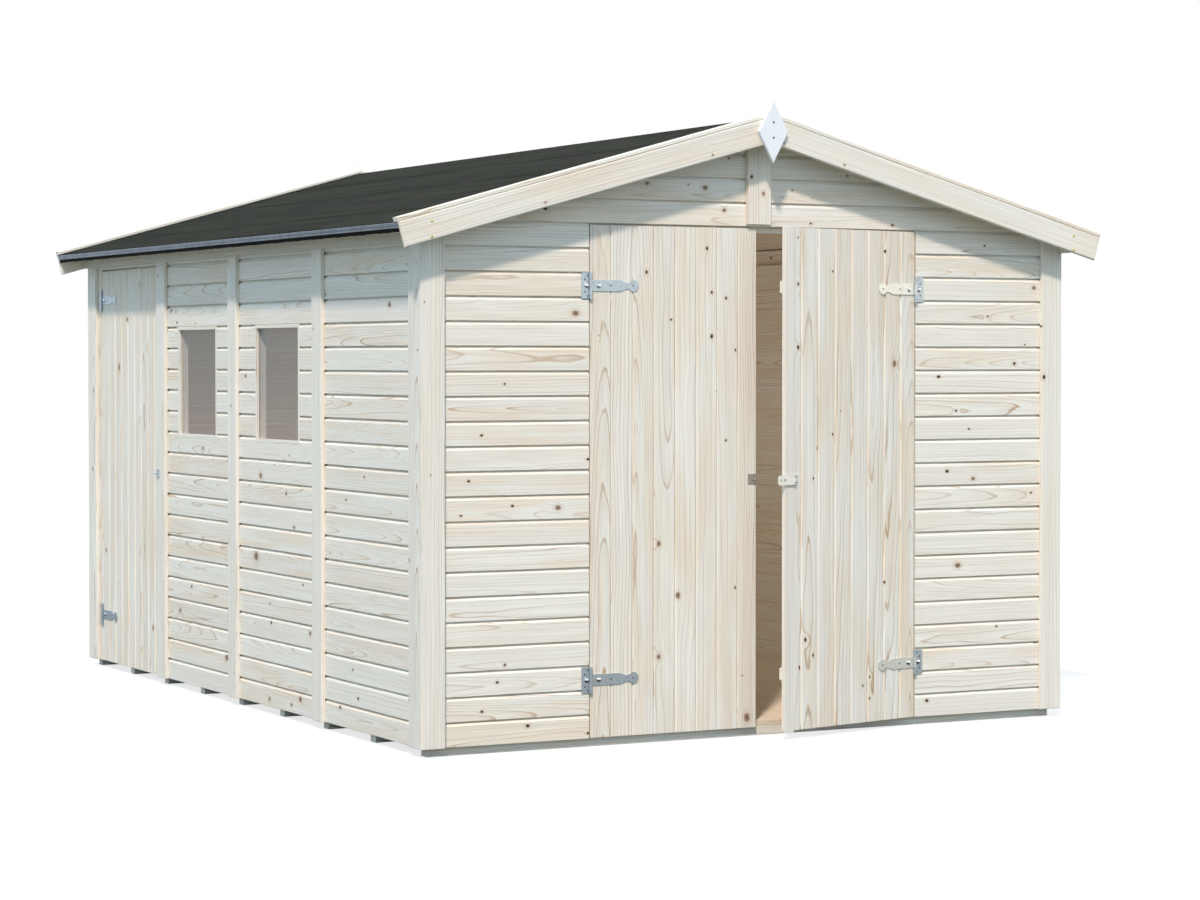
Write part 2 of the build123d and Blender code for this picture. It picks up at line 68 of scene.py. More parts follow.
# The roof: depths are square to the slope, from the top of the caps
SLOPE = math.radians(15.5)
COS, SIN, TAN = math.cos(SLOPE), math.sin(SLOPE), math.tan(SLOPE)
RIDGE = 2.28321
CAP = 0.015
CAP_WIDTH = 0.045
FELT = CAP + 0.003
SOFFIT = FELT + 0.016
SLOPE_LENGTH = (SIDE_X + 0.124) / COS
BARGE_Y = FRONT_Y + 0.085
DECK_Y = BARGE_Y - BOARD
DECK_BOARDS = 16
DECK_EASE = 0.002
BEAM_HALF = 0.022
BEAM_DEPTH = 0.120
PURLIN = (0.658, 0.702)
PURLIN_DEPTH = 0.070
APEX_HALF = 0.050
FINIAL_HALF = (0.0615, 0.115)
FINIAL_DROP = 0.070
EDGE_SETBACK = 0.003

# Windows, doors and their ironwork
RUN = 2.744
JOINTS = (-FRONT_Y + 0.3466 * RUN, -FRONT_Y + 0.6706 * RUN)
WINDOWS = (-FRONT_Y + 0.5066 * RUN, -FRONT_Y + 0.8324 * RUN)
WINDOW_HALF = 0.2165
WINDOW_Z = (1.074, 1.507)
LINING = 0.014
LINING_DEPTH = 0.041
SIDE_DOORWAY = (0.910, 1.678)
AJAR = math.radians(13.5)
LEAF = 0.015
LEAF_GAP = 0.007
LEAF_FOOT = FOOT + 0.002
FRONT_LEAF = 0.688
SIDE_LEAF = 0.758
FACE_DEPTH = 0.0065
HINGE_GAP = 0.004
HINGE_X = DOOR_X - HINGE_GAP
HINGE_Y = -CLAD_Y - FACE_DEPTH
SIDE_HINGE = (-CLAD_X - FACE_DEPTH, SIDE_DOORWAY[1] - HINGE_GAP)
HINGE_Z = (0.240, 1.64975)
HASP_Z = 0.947
SIDE_STAPLE = (0.880, 0.897)

X = np.array((1.0, 0.0, 0.0))
Y = np.array((0.0, 1.0, 0.0))
Z = np.array((0.0, 0.0, 1.0))
SIDES = ((-1, "left"), (1, "right"))

# Knots a board can carry, the place of an absent one, and radii of chance knots with their shares.
# A knot with a negative radius is a pale one
KNOTS = 4
FAR = (9.0, 9.0, 0.01)
CHANCE_RADII = (0.003, 0.004, -0.006, -0.009)
CHANCE_SHARES = (0.35, 0.25, 0.25, 0.15)


def roof_z(x, depth):
    return RIDGE - depth / COS - abs(x) * TAN


def roof_point(side, reach, depth, y):
    x = reach * COS - depth * SIN
    return (side * x, y, RIDGE - reach * SIN - depth * COS)


def unit(v):
    v = np.asarray(v, float)
    return v / np.linalg.norm(v)


def about(middle, width):
    return (middle - width / 2, middle + width / 2)


def placed(name, data):
    """A new object in the scene."""
    holder = bpy.data.objects.new(name, data)
    bpy.context.collection.objects.link(holder)
    return holder


class Piece:
    """One mesh of many boards or fittings. Each board carries its own grain, tone and knots."""

    def __init__(self, name, body, nodes=(), seed=0, slot="softwood", pink=(0.05, 0.72), bright=(-1, 1)):
        self.name = name
        self.body = body
        self.nodes = nodes
        self.slot = slot
        self.pink = pink
        self.bright = bright
        self.rng = np.random.default_rng(seed)
        self.points = []
        self.faces = []
        self.grain = []
        self.tone = []
        self.knots = [[] for _ in range(KNOTS)]

    def look(self, width=0.0877, knotty=0.0, length=1.0, straight=0.35, growth=(0.65, 1.6)):
        """How one board is cut from the log: the heart's place, its lean, the tone and chance knots."""
        rng = self.rng
        chance = []
        for _ in range(rng.poisson(knotty * length)):
            chance.append((rng.uniform(-length / 2, length / 2), rng.uniform(-width / 2, width / 2),
                           rng.choice(CHANCE_RADII, p=CHANCE_SHARES)))
        rift = rng.uniform(0, 1) < straight
        return {
            "shift": rng.uniform(-40, 40),
            "side": rng.choice((-1, 1)) * rng.uniform(0.05, 0.12) if rift else rng.uniform(-0.045, 0.045),
            "heart": rng.uniform(0.03, 0.10) if rift else rng.uniform(0.012, 0.075),
            "lean": rng.choice((-1, 1)) * (rng.uniform(0.002, 0.010) if rift else rng.uniform(0.008, 0.04)),
            "growth": rng.uniform(*growth),
            "tone": (rng.uniform(*self.pink), rng.uniform(*self.bright), rng.uniform(0.5, 1.0)),
            "chance": chance,
        }

    def rings(self, rings):
        """A skin over rings of points, closed at both ends."""
        start = len(self.points)
        count = len(rings[0])
        for ring in rings:
            self.points.extend(tuple(p) for p in ring)
        for level in range(len(rings) - 1):
            a = start + level * count
            b = a + count
            for i in range(count):
                j = (i + 1) % count
                self.faces.append((a + i, b + i, b + j, a + j))
        self.faces.append(tuple(range(start, start + count)))
        self.faces.append(tuple(range(start + (len(rings) - 1) * count, start + len(rings) * count)))
        return start

    def board(self, outline, depth, along, face, ease=0.0015, look=None, centre=None, knots=()):
        """A prism with eased ends: an outline carried along a depth. Knots are (along, across, radius)."""
        outline = np.array(outline, float)
        depth = np.array(depth, float)
        length = np.linalg.norm(depth)
        way = depth / length
        area = np.zeros(3)
        for p, q in zip(outline[1:], outline[2:]):
            area += np.cross(p - outline[0], q - outline[0])
        if area @ way > 0:
            outline = outline[::-1]
        before = outline - np.roll(outline, 1, axis=0)
        before /= np.linalg.norm(before, axis=1)[:, None]
        after = np.roll(before, -1, axis=0)
        in_before = np.cross(-way, before)
        in_after = np.cross(-way, after)
        share = 1 + np.sum(in_before * in_after, axis=1)[:, None]
        inset = outline + ease * (in_before + in_after) / share
        start = self.rings([inset, outline + way * ease, outline + way * (length - ease), inset + depth])
        self.dress(start, along, face, look, centre, knots)

    def dress(self, start, along, face, look=None, centre=None, knots=()):
        """Grain, tone and knots for the points added since start."""
        new = np.array(self.points[start:])
        along = unit(along)
        face = unit(face)
        across = np.cross(face, along)
        middle = (new.min(axis=0) + new.max(axis=0)) / 2 if centre is None else np.array(centre, float)
        rel = new - middle
        u, v, w = rel @ along, rel @ across, rel @ face
        look = look or self.look(float(np.ptp(v)), 0.7, float(np.ptp(u)))
        depth = w + look["heart"] + look["lean"] * u
        growth = look["growth"]
        grain = np.stack((u + look["shift"], (v - look["side"]) * growth, depth * growth), axis=1)
        self.grain.extend(map(tuple, grain))
        self.tone.extend([look["tone"]] * len(new))
        spots = list(knots)[:KNOTS]
        spots += list(look["chance"])[:KNOTS - len(spots)]
        for i in range(KNOTS):
            if i < len(spots):
                ku, kv, radius = spots[i]
                rows = np.stack((u - ku, v - kv, np.full(len(u), radius)), axis=1)
                self.knots[i].extend(map(tuple, rows))
            else:
                self.knots[i].extend([FAR] * len(new))

    def box(self, low, high, along, face, ease=0.0015):
        """A squared timber between two corners."""
        low, high = np.array(low, float), np.array(high, float)
        axis = int(np.argmax(np.abs(face)))
        a, b = (i for i in range(3) if i != axis)
        outline = np.tile(low, (4, 1))
        outline[1:3, a] = high[a]
        outline[2:, b] = high[b]
        depth = np.zeros(3)
        depth[axis] = high[axis] - low[axis]
        self.board(outline, depth, along, face, ease)

    def make(self, material, smooth=False):
        """The mesh, in place of its nodes and riding on its body."""
        mesh = bpy.data.meshes.new(self.name)
        mesh.from_pydata(self.points, [], self.faces)
        for name, rows in (("grain", self.grain), ("tone", self.tone),
                           *((f"knot{i + 1}", rows) for i, rows in enumerate(self.knots))):
            if rows:
                layer = mesh.attributes.new(name, "FLOAT_VECTOR", "POINT")
                layer.data.foreach_set("vector", np.array(rows, np.float32).ravel())
        edit = bmesh.new()
        edit.from_mesh(mesh)
        bmesh.ops.recalc_face_normals(edit, faces=edit.faces)
        edit.to_mesh(mesh)
        edit.free()
        if smooth:
            mesh.polygons.foreach_set("use_smooth", [True] * len(mesh.polygons))
        mesh.materials.append(material)
        piece = placed(self.name, mesh)
        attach(piece, self.body)
        if self.nodes:
            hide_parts(*self.nodes)


class Graph:
    """Short forms for building the nodes of a material or a world."""

    def __init__(self, owner):
        owner.use_nodes = True
        self.owner = owner
        self.tree = owner.node_tree
        self.shader = self.tree.nodes.get("Principled BSDF")

    def node(self, kind):
        return self.tree.nodes.new(f"ShaderNode{kind}")

    def put(self, socket, value):
        if isinstance(value, bpy.types.NodeSocket):
            self.tree.links.new(value, socket)
        else:
            socket.default_value = value

    def set(self, **values):
        for name, value in values.items():
            self.put(self.shader.inputs[name.replace("_", " ")], value)

    def math(self, operation, *values):
        node = self.node("Math")
        node.operation = operation
        for socket, value in zip(node.inputs, values):
            self.put(socket, value)
        return node.outputs[0]

    def vector(self, operation, *values, output=0):
        node = self.node("VectorMath")
        node.operation = operation
        for socket, value in zip(node.inputs, values):
            self.put(socket, value)
        return node.outputs[output]

    def scaled(self, vector, factors):
        return self.vector("MULTIPLY", vector, factors)

    def attribute(self, name):
        node = self.node("Attribute")
        node.attribute_name = name
        return node.outputs["Vector"]

    def parts(self, vector):
        node = self.node("SeparateXYZ")
        self.put(node.inputs[0], vector)
        return node.outputs

    def noise(self, vector, scale=1.0, detail=2.0, roughness=0.5):
        node = self.node("TexNoise")
        self.put(node.inputs["Vector"], vector)
        node.inputs["Scale"].default_value = scale
        node.inputs["Detail"].default_value = detail
        node.inputs["Roughness"].default_value = roughness
        return node.outputs["Fac"]

    def ramp(self, value, low, high, to_low=0.0, to_high=1.0, smooth=True):
        node = self.node("MapRange")
        node.interpolation_type = "SMOOTHSTEP" if smooth else "LINEAR"
        for socket, entry in zip(node.inputs[:5], (value, low, high, to_low, to_high)):
            self.put(socket, entry)
        return node.outputs[0]

    def mix(self, factor, a, b, blend="MIX"):
        node = self.node("Mix")
        node.data_type = "RGBA"
        node.blend_type = blend
        self.put(node.inputs["Factor"], factor)
        for socket, value in ((node.inputs[6], a), (node.inputs[7], b)):
            self.put(socket, value if isinstance(value, bpy.types.NodeSocket) else (*value, 1.0))
        return node.outputs[2]

    def bump(self, height, strength, distance):
        node = self.node("Bump")
        node.inputs["Strength"].default_value = strength
        node.inputs["Distance"].default_value = distance
        self.put(node.inputs["Height"], height)
        self.put(self.shader.inputs["Normal"], node.outputs[0])

    def place(self):
        return self.node("TexCoord").outputs["Object"]

    def choose(self, output, factor, a, b):
        """The named output shows shader a, or b by a factor."""
        node = self.node("MixShader")
        for socket, value in zip(node.inputs, (factor, a, b)):
            self.put(socket, value)
        self.put(self.tree.nodes[output].inputs["Surface"], node.outputs[0])


# Width of a growth ring, the colour round a knot, and those of a knot's middle and rim
RING = 0.0080
KNOT_HALO = (0.52, 0.34, 0.20)
PALE_KNOT = ((0.070, 0.035, 0.018), (0.300, 0.168, 0.085))
DARK_KNOT = ((0.040, 0.022, 0.012), (0.22, 0.120, 0.060))


def wood(name, early, warm, late, strength=1.0, fibrous=0.40, knots=True):
    """Softwood with growth rings about a heart that leans through the board, and knots they bend round."""
    g = Graph(bpy.data.materials.new(name))
    grain = g.attribute("grain")
    pink, bright, contrast = g.parts(g.attribute("tone"))
    wander = g.noise(g.scaled(grain, (1.7, 9.0, 9.0)), 1.0, 2.0, 0.45)
    radius = g.vector("LENGTH", g.scaled(grain, (0.0, 1.0, 1.0)), output=1)
    radius = g.math("MULTIPLY_ADD", g.math("SUBTRACT", wander, 0.5), 0.030, radius)
    near = eye = ring = None
    if knots:
        rough_edge = g.noise(g.scaled(grain, (150.0, 150.0, 150.0)), 1.0, 2.0)
        for i in range(KNOTS):
            spot = g.attribute(f"knot{i + 1}")
            signed = g.parts(spot)[2]
            size = g.math("MULTIPLY", g.math("ABSOLUTE", signed), 0.82)
            reach = g.vector("LENGTH", g.scaled(spot, (0.75, 1.0, 0.0)), output=1)
            ratio = g.math("DIVIDE", reach, size)
            swell = g.math("EXPONENT", g.math("MULTIPLY", g.math("MULTIPLY", ratio, ratio), -0.16))
            radius = g.math("MULTIPLY_ADD", g.math("MULTIPLY", swell, size), 1.1, radius)
            edge = g.math("MULTIPLY_ADD", g.math("SUBTRACT", rough_edge, 0.5), 0.55, ratio)
            mask = g.ramp(edge, 0.72, 1.12, 1.0, 0.0)
            dark = g.math("MULTIPLY", mask, g.math("GREATER_THAN", signed, 0.0))
            pale = g.math("MULTIPLY", mask, g.math("LESS_THAN", signed, 0.0))
            near = edge if near is None else g.math("MINIMUM", near, edge)
            eye = dark if eye is None else g.math("MAXIMUM", eye, dark)
            ring = pale if ring is None else g.math("MAXIMUM", ring, pale)
    count = g.math("DIVIDE", radius, RING)
    ragged = g.noise(g.scaled(grain, (14.0, 120.0, 120.0)), 1.0, 2.0)
    count = g.math("MULTIPLY_ADD", ragged, 0.16, count)
    phase = g.math("FRACT", count)
    band = g.math("MULTIPLY", g.ramp(phase, 0.05, 0.85), 0.16)
    line = g.math("MAXIMUM", band, g.ramp(phase, 0.78, 0.92))
    line = g.math("MULTIPLY", line, g.ramp(phase, 0.94, 1.0, 1.0, 0.0))
    each = g.node("TexWhiteNoise")
    each.noise_dimensions = "1D"
    g.put(each.inputs["W"], g.math("FLOOR", count))
    line = g.math("MULTIPLY", line, g.ramp(each.outputs["Value"], 0.0, 1.0, 0.2, 1.0, smooth=False))
    line = g.math("MULTIPLY", line, contrast)
    fibre = g.noise(g.scaled(grain, (2.0, 150.0, 150.0)), 1.0, 3.0, 0.6)
    cloud = g.noise(g.scaled(grain, (2.2, 16.0, 16.0)), 1.0, 2.0)
    colour = g.mix(g.math("MULTIPLY", pink, g.ramp(cloud, 0.32, 0.68, 0.0, 1.40)), early, warm)
    colour = g.mix(g.math("MULTIPLY", line, strength), colour, late)
    # Each board's brightness from its tone: random on most boards, painted shade on the eaves boards and
    # painted light on the right leaf
    shade = g.math("MULTIPLY_ADD", bright, 0.014, 1.0)
    shade = g.math("MULTIPLY_ADD", g.math("SUBTRACT", fibre, 0.5), fibrous, shade)
    shaded = g.node("CombineColor")
    for socket in shaded.inputs:
        g.put(socket, shade)
    colour = g.mix(1.0, colour, shaded.outputs[0], "MULTIPLY")
    height = g.math("MULTIPLY_ADD", line, 0.6, fibre)
    if knots:
        halo = g.math("MULTIPLY", g.ramp(near, 0.9, 2.6, 1.0, 0.0), 0.30)
        colour = g.mix(halo, colour, KNOT_HALO)
        tan = g.mix(g.ramp(near, 0.15, 0.70), *PALE_KNOT)
        colour = g.mix(g.math("MULTIPLY", ring, 0.85), colour, tan)
        heart = g.mix(g.ramp(near, 0.30, 1.0), *DARK_KNOT)
        colour = g.mix(eye, colour, heart)
    g.set(Base_Color=colour, Roughness=g.ramp(line, 0.0, 1.0, 0.66, 0.54))
    g.set(Specular_IOR_Level=0.3)
    g.bump(height, 0.25, 0.0006)
    return g.owner


softwood = wood("softwood", (0.835, 0.797, 0.710), (0.815, 0.705, 0.565), (0.480, 0.315, 0.175))
floor_wood = wood("floor_wood", (0.790, 0.690, 0.560), (0.770, 0.620, 0.460), (0.540, 0.370, 0.230))
white_wood = wood("white_wood", (0.860, 0.865, 0.875), (0.850, 0.850, 0.850), (0.740, 0.740, 0.745),
                  strength=0.08, fibrous=0.05, knots=False)


def felt_material():
    g = Graph(bpy.data.materials.new("roofing_felt"))
    place = g.place()
    grit = g.noise(place, 900.0, 2.0, 0.7)
    streak = g.noise(g.scaled(place, (26.0, 1.3, 26.0)), 1.0, 3.0, 0.6)
    patch = g.noise(g.scaled(place, (3.0, 1.0, 3.0)), 1.0, 2.0)
    tone = g.math("MULTIPLY_ADD", streak, 0.7, g.math("MULTIPLY", patch, 0.3))
    colour = g.mix(g.ramp(tone, 0.36, 0.62), (0.0078, 0.0094, 0.0062), (0.0195, 0.0222, 0.0156))
    colour = g.mix(g.ramp(grit, 0.52, 0.75, 0.0, 0.55), colour, (0.034, 0.036, 0.028))
    g.set(Base_Color=colour, Roughness=0.95, Specular_IOR_Level=0.04)
    g.bump(grit, 0.5, 0.0012)
    return g.owner


def metal(name, low, high, roughness, metallic, flakes):
    """Zinc or coated sheet with a soft spangle and faint wear."""
    g = Graph(bpy.data.materials.new(name))
    place = g.place()
    cells = g.node("TexVoronoi")
    g.put(cells.inputs["Vector"], place)
    cells.inputs["Scale"].default_value = flakes
    fleck = g.parts(cells.outputs["Color"])[0]
    cloud = g.noise(place, 60.0, 3.0)
    tone = g.math("MULTIPLY_ADD", fleck, 0.55, g.math("MULTIPLY", cloud, 0.45))
    g.set(Base_Color=g.mix(tone, low, high), Metallic=metallic)
    g.set(Roughness=g.ramp(tone, 0.0, 1.0, roughness + 0.08, roughness - 0.08))
    g.bump(cloud, 0.12, 0.0004)
    return g.owner


def glass_material():
    g = Graph(bpy.data.materials.new("window_glass"))
    place = g.place()
    # The pane's base colour is partly dust haze and partly painted reflection: darker and bluish towards the
    # top, lighter grey towards the bottom, along wavy horizontal streaks
    haze_and_reflection = g.noise(g.scaled(place, (1.0, 0.6, 7.0)), 1.0, 3.0)
    low = g.ramp(g.math("MULTIPLY_ADD", haze_and_reflection, 0.30, g.parts(place)[2]), 1.25, 1.60, 1.0, 0.0)
    g.set(Base_Color=g.mix(low, (0.100, 0.190, 0.260), (0.270, 0.290, 0.310)), Roughness=0.03, Alpha=0.20)
    g.set(IOR=2.2, Specular_IOR_Level=0.5)
    return g.owner


felt = felt_material()
zinc = metal("galvanised_steel", (0.35, 0.41, 0.45), (0.57, 0.64, 0.68), 0.42, 0.75, 240.0)
# A lighter copy of the galvanised finish for the right leaf's hinge straps and hasp strap: painted glint of
# the sun on the ajar leaf
zinc_painted_glint = metal("galvanised_painted_glint", (0.580, 0.610, 0.580), (0.670, 0.700, 0.670), 0.40, 0.5, 240.0)
staple = metal("dull_plate", (0.34, 0.33, 0.30), (0.46, 0.45, 0.41), 0.45, 0.5, 240.0)
bolt_steel = metal("bolt_steel", (0.66, 0.68, 0.69), (0.78, 0.79, 0.80), 0.08, 1.0, 300.0)
# Near-black countersunk heads at the screw holes of the ironwork: painted shade of the holes
hole_shade_steel = metal("screw_heads_painted_hole_shade", (0.07, 0.08, 0.09), (0.12, 0.13, 0.14), 0.55, 0.3, 300.0)
dark_screw = metal("dark_screws", (0.050, 0.045, 0.040), (0.090, 0.080, 0.070), 0.5, 0.4, 300.0)
brass_nail = metal("nail_heads", (0.46, 0.42, 0.16), (0.60, 0.55, 0.24), 0.4, 0.6, 300.0)
roof_metal = metal("roof_metal", (0.165, 0.188, 0.225), (0.235, 0.258, 0.298), 0.5, 0.25, 30.0)
under_felt = metal("felt_underside", (0.006, 0.006, 0.006), (0.012, 0.012, 0.011), 0.9, 1.0, 200.0)
glass = glass_material()

# The clear knots of each face: place along it, height, radius. Those of the bargeboards: side, reach, radius
FRONT_KNOTS = [
    (-0.75, 1.55, -0.013), (-1.03, 1.30, 0.005), (-1.12, 1.12, 0.006), (-0.70, 1.03, 0.006),
    (-1.17, 0.96, 0.006), (-0.82, 0.86, -0.011), (-1.00, 0.87, 0.006), (-1.20, 0.84, 0.005),
    (-1.03, 0.31, 0.005), (-1.06, 0.25, 0.006), (-1.12, 0.15, 0.006), (-0.94, 0.09, 0.008),
    (-0.70, 0.05, 0.006), (1.01, 1.82, 0.005), (1.15, 1.37, 0.007), (0.80, 1.32, 0.008),
    (0.88, 1.19, 0.006), (0.94, 1.12, 0.005), (0.84, 0.96, 0.008), (0.96, 0.93, -0.009),
    (1.23, 0.87, 0.005), (0.89, 0.60, -0.013), (1.07, 0.36, 0.005), (0.75, 0.09, 0.008),
]
GABLE_KNOTS = [
    (-0.46, 2.02, -0.008), (-0.29, 2.02, -0.004), (-0.22, 2.01, -0.011), (-0.12, 2.12, 0.005),
    (-0.14, 1.93, -0.009), (0.15, 2.01, -0.005), (0.39, 2.07, -0.005), (0.50, 2.02, -0.011),
    (0.23, 1.89, 0.005), (0.59, 1.89, 0.006), (-0.87, 1.92, 0.008),
]
BARGE_KNOT_RISE = 0.029
BARGE_KNOTS = [(-1, 0.28, -0.005), (1, 0.35, -0.005), (1, 0.08, -0.004), (-1, 0.98, -0.005)]
LEFT_LEAF_KNOTS = [
    (0.48, 1.79, 0.007), (0.23, 1.70, 0.007), (0.50, 1.63, 0.006), (0.56, 1.61, 0.006),
    (0.33, 1.53, 0.005), (0.50, 1.47, 0.008), (0.60, 1.42, 0.005), (0.56, 1.09, 0.005),
    (0.28, 0.72, -0.010), (0.60, 0.55, 0.005), (0.36, 0.53, -0.012), (0.28, 0.31, -0.010),
    (0.65, 0.07, -0.016),
]
RIGHT_LEAF_KNOTS = [
    (0.62, 1.83, 0.004), (0.16, 1.79, 0.006), (0.44, 1.71, 0.005), (0.62, 1.66, 0.006),
    (0.08, 1.53, 0.005), (0.62, 1.43, 0.008), (0.11, 1.37, -0.013), (0.44, 1.11, 0.005),
    (0.52, 1.06, 0.005), (0.54, 0.95, 0.005), (0.16, 0.55, 0.005), (0.58, 0.36, 0.008),
    (0.54, 0.30, 0.006), (0.61, 0.26, 0.007), (0.24, 0.20, 0.005), (0.24, 0.12, 0.005),
]
LEFT_WALL_KNOTS = [
    (-1.53, 1.58, -0.012), (0.76, 1.59, -0.010), (-0.27, 0.93, -0.014), (0.38, 1.02, -0.010),
    (-1.30, 0.96, 0.006), (-0.54, 0.87, 0.008), (-1.13, 0.87, 0.006), (-0.22, 0.61, -0.022),
    (0.52, 0.44, 0.008), (-0.71, 0.53, 0.006), (0.66, 0.33, -0.012), (-0.38, 0.36, 0.008),
    (-0.78, 0.35, -0.010), (-0.68, 0.09, -0.014), (0.11, 0.18, -0.016), (-1.19, 0.25, 0.006),
    (-0.36, 0.06, -0.010), (-0.59, 0.06, -0.009), (-1.07, 0.10, 0.008), (-1.24, 0.15, 0.008),
    (-0.11, 1.32, 0.008), (0.69, 1.54, 0.007),
]
SIDE_LEAF_KNOTS = [(0.34, 1.56, -0.010), (0.23, 1.35, -0.014), (0.04, 0.53, -0.010), (0.67, 0.23, -0.012)]

# The corner board's knot and the apex strip's, from the board's middle: up, across, radius
CORNER_KNOT = (0.354, 0.035, 0.009)
APEX_KNOTS = [(-0.01, 0.033, 0.007), (-0.07, -0.017, -0.008)]

# Horizontal boards. Each stands over the tongue of the one below, with a bevel on its top edge
GROOVE = 0.0065
BEVEL = 0.0080
BEVEL_DEPTH = 0.0049
REBATE = 0.0105
SLIVER = 0.004


def course_profile(low, high, cut_low, cut_high):
    """Section of one board as (outward, height), square where it is cut."""
    shape = [
        (-CLADDING, low + 0.0006), (-0.0012, low + 0.0002), (0.0, low + 0.0016), (0.0, high - GROOVE - BEVEL),
        (-BEVEL_DEPTH, high - GROOVE), (-REBATE, high - GROOVE + 0.0012), (-REBATE, high), (-0.0185, high),
        (-CLADDING, high - 0.0016),
    ]
    return [(d, min(max(z, cut_low), cut_high)) for d, z in shape]


def clipped(profile):
    """Points of a section without doubles."""
    kept = []
    for point in profile:
        if not kept or math.dist(point, kept[-1]) > 1e-6:
            kept.append(point)
    if math.dist(kept[0], kept[-1]) < 1e-6:
        kept.pop()
    return kept


def wall_boards(piece, out, along, face_at, spans, low_course, high_course, holes=(), ends=None, knots=(),
                knotty=0.8, growth=(0.65, 1.6)):
    """Courses of boards on one wall. out and along are unit axes, spans are stretches along the wall."""
    for start, end in spans:
        middle = (start + end) / 2
        for k in range(low_course, high_course):
            low = FOOT + k * COURSE
            high = low + COURSE
            look = piece.look(COURSE, 0.25 if knots else knotty, end - start, growth=growth)
            spots = []
            for place, z, radius in knots:
                if start <= place <= end and low <= z < high:
                    spots.append((place - middle, z - (low + high) / 2, radius))
            centre = out * face_at + along * middle + Z * (low + high) / 2
            across = np.cross(out, along)
            if across @ Z < 0:
                spots = [(a, -b, r) for a, b, r in spots]
            parts = [(start, end, low, high)]
            for y0, y1, z0, z1 in holes:
                cut = []
                for a, b, p, q in parts:
                    if y0 >= b or y1 <= a or z0 >= q or z1 <= p:
                        cut.append((a, b, p, q))
                        continue
                    cut.append((a, y0, p, q))
                    cut.append((y1, b, p, q))
                    if z0 - p > SLIVER:
                        cut.append((y0, y1, p, z0))
                    if q - z1 > SLIVER:
                        cut.append((y0, y1, z1, q))
                parts = cut
            for a, b, p, q in parts:
                section = clipped(course_profile(low, high, p, q))
                first = []
                last = []
                for d, z in section:
                    a_end, b_end = (a, b) if ends is None else ends(a, b, z)
                    point = out * (face_at + d) + Z * z
                    first.append(point + along * a_end)
                    last.append(point + along * b_end)
                begin = piece.rings([np.array(first), np.array(last)])
                piece.dress(begin, along, out, look, centre, spots)


def gable_ends(a, b, z):
    """A board's ends under the roof slope."""
    reach = max((RIDGE - SOFFIT / COS - z) / TAN, SLIVER)
    return max(a, -reach), min(b, reach)


front = Piece("front_boarding", "shed", ["front_panels"], 11)
wall_boards(front, -Y, X, CLAD_Y, [(-INNER_X, -DOOR_X), (DOOR_X, INNER_X)], 0, COURSES,
            knots=FRONT_KNOTS)
front.make(softwood)

gable = Piece("gable_boarding", "shed", ["front_gable"], 12)
wall_boards(gable, -Y, X, CLAD_Y, [(-INNER_X, INNER_X)], COURSES, GABLE_COURSES, ends=gable_ends,
            knots=GABLE_KNOTS)
gable.make(softwood)

back = Piece("back_boarding", "shed", ["back_wall"], 13)
wall_boards(back, Y, X, CLAD_Y, [(-INNER_X, 0.0), (0.0, INNER_X)], 0, COURSES)
wall_boards(back, Y, X, CLAD_Y, [(-INNER_X, INNER_X)], COURSES, GABLE_COURSES, ends=gable_ends)
back.make(softwood)

window_holes = [
    (y - WINDOW_HALF - LINING, y + WINDOW_HALF + LINING, WINDOW_Z[0] - LINING, WINDOW_Z[1] + LINING)
    for y in WINDOWS
]
left_panels = [
    ("left_panel_front", -CLAD_Y, JOINTS[0], 0, []),
    ("left_panel_window_front", JOINTS[0], JOINTS[1], 0, window_holes[:1]),
    ("left_panel_window_back", JOINTS[1], SIDE_DOORWAY[0], 0, window_holes[1:]),
    ("left_panel_over_door", *SIDE_DOORWAY, SIDE_COURSES, []),
    ("left_panel_back", SIDE_DOORWAY[1], CLAD_Y, 0, []),
]
for seed, (node, start, end, low_course, holes) in enumerate(left_panels):
    panel = Piece(f"{node}_boarding", "shed", [node], 20 + seed)
    if node == "left_panel_back":
        panel.box((-CLAD_X, start, FOOT), (-INNER_X, end, DOOR_HEAD), Z, -X)
    else:
        wall_boards(panel, -X, Y, CLAD_X, [(start, end)], low_course, COURSES, holes,
                    knots=LEFT_WALL_KNOTS, growth=(1.1, 2.2))
    panel.make(softwood)

right = Piece("right_boarding", "shed", ["right_wall"], 30)
stations = [-CLAD_Y, *JOINTS, SIDE_DOORWAY[0], CLAD_Y]
wall_boards(right, X, Y, CLAD_X, list(zip(stations, stations[1:])), 0, COURSES, knotty=0.3)
right.make(softwood)

# Window linings, four boards round each opening
linings = Piece("window_lining_boards", "shed", ["window_linings"], 31)
lining_x = (-CLAD_X, -CLAD_X + LINING_DEPTH)
for y in WINDOWS:
    outer = WINDOW_HALF + LINING
    low, high = WINDOW_Z
    for edge in (-1, 1):
        y0, y1 = sorted((y + edge * WINDOW_HALF, y + edge * outer))
        linings.box((lining_x[0], y0, low), (lining_x[1], y1, high), Z, (0, -edge, 0), 0.001)
    for z0, z1, up in ((low - LINING, low, 1), (high, high + LINING, -1)):
        linings.box((lining_x[0], y - outer, z0), (lining_x[1], y + outer, z1), Y, (0, 0, up), 0.001)
linings.make(softwood)

# Corner boards, trims, eaves boards and apex strips
corners = Piece("corner_board_timbers", "shed", ["corner_boards"], 41, pink=(0.0, 0.3))
for side in (-1, 1):
    for out in (-1, 1):
        y = out * FRONT_Y
        inner_edge = SIDE_X - TRIM
        outline = [
            (side * inner_edge, y, FOOT), (side * SIDE_X, y, FOOT), (side * SIDE_X, y, EAVES_FOOT),
            (side * CLAD_X, y, EAVES_FOOT), (side * CLAD_X, y, roof_z(CLAD_X, SOFFIT)),
            (side * inner_edge, y, roof_z(inner_edge, SOFFIT)),
        ]
        spots = [CORNER_KNOT] if (side, out) == (1, -1) else []
        grown = corners.look(TRIM, 0.3, 1.9, 1.0, (0.9, 1.5))
        corners.board(outline, (0, -out * BOARD, 0), Z, (0, out, 0), 0.0015, grown, knots=spots)
corners.make(softwood)

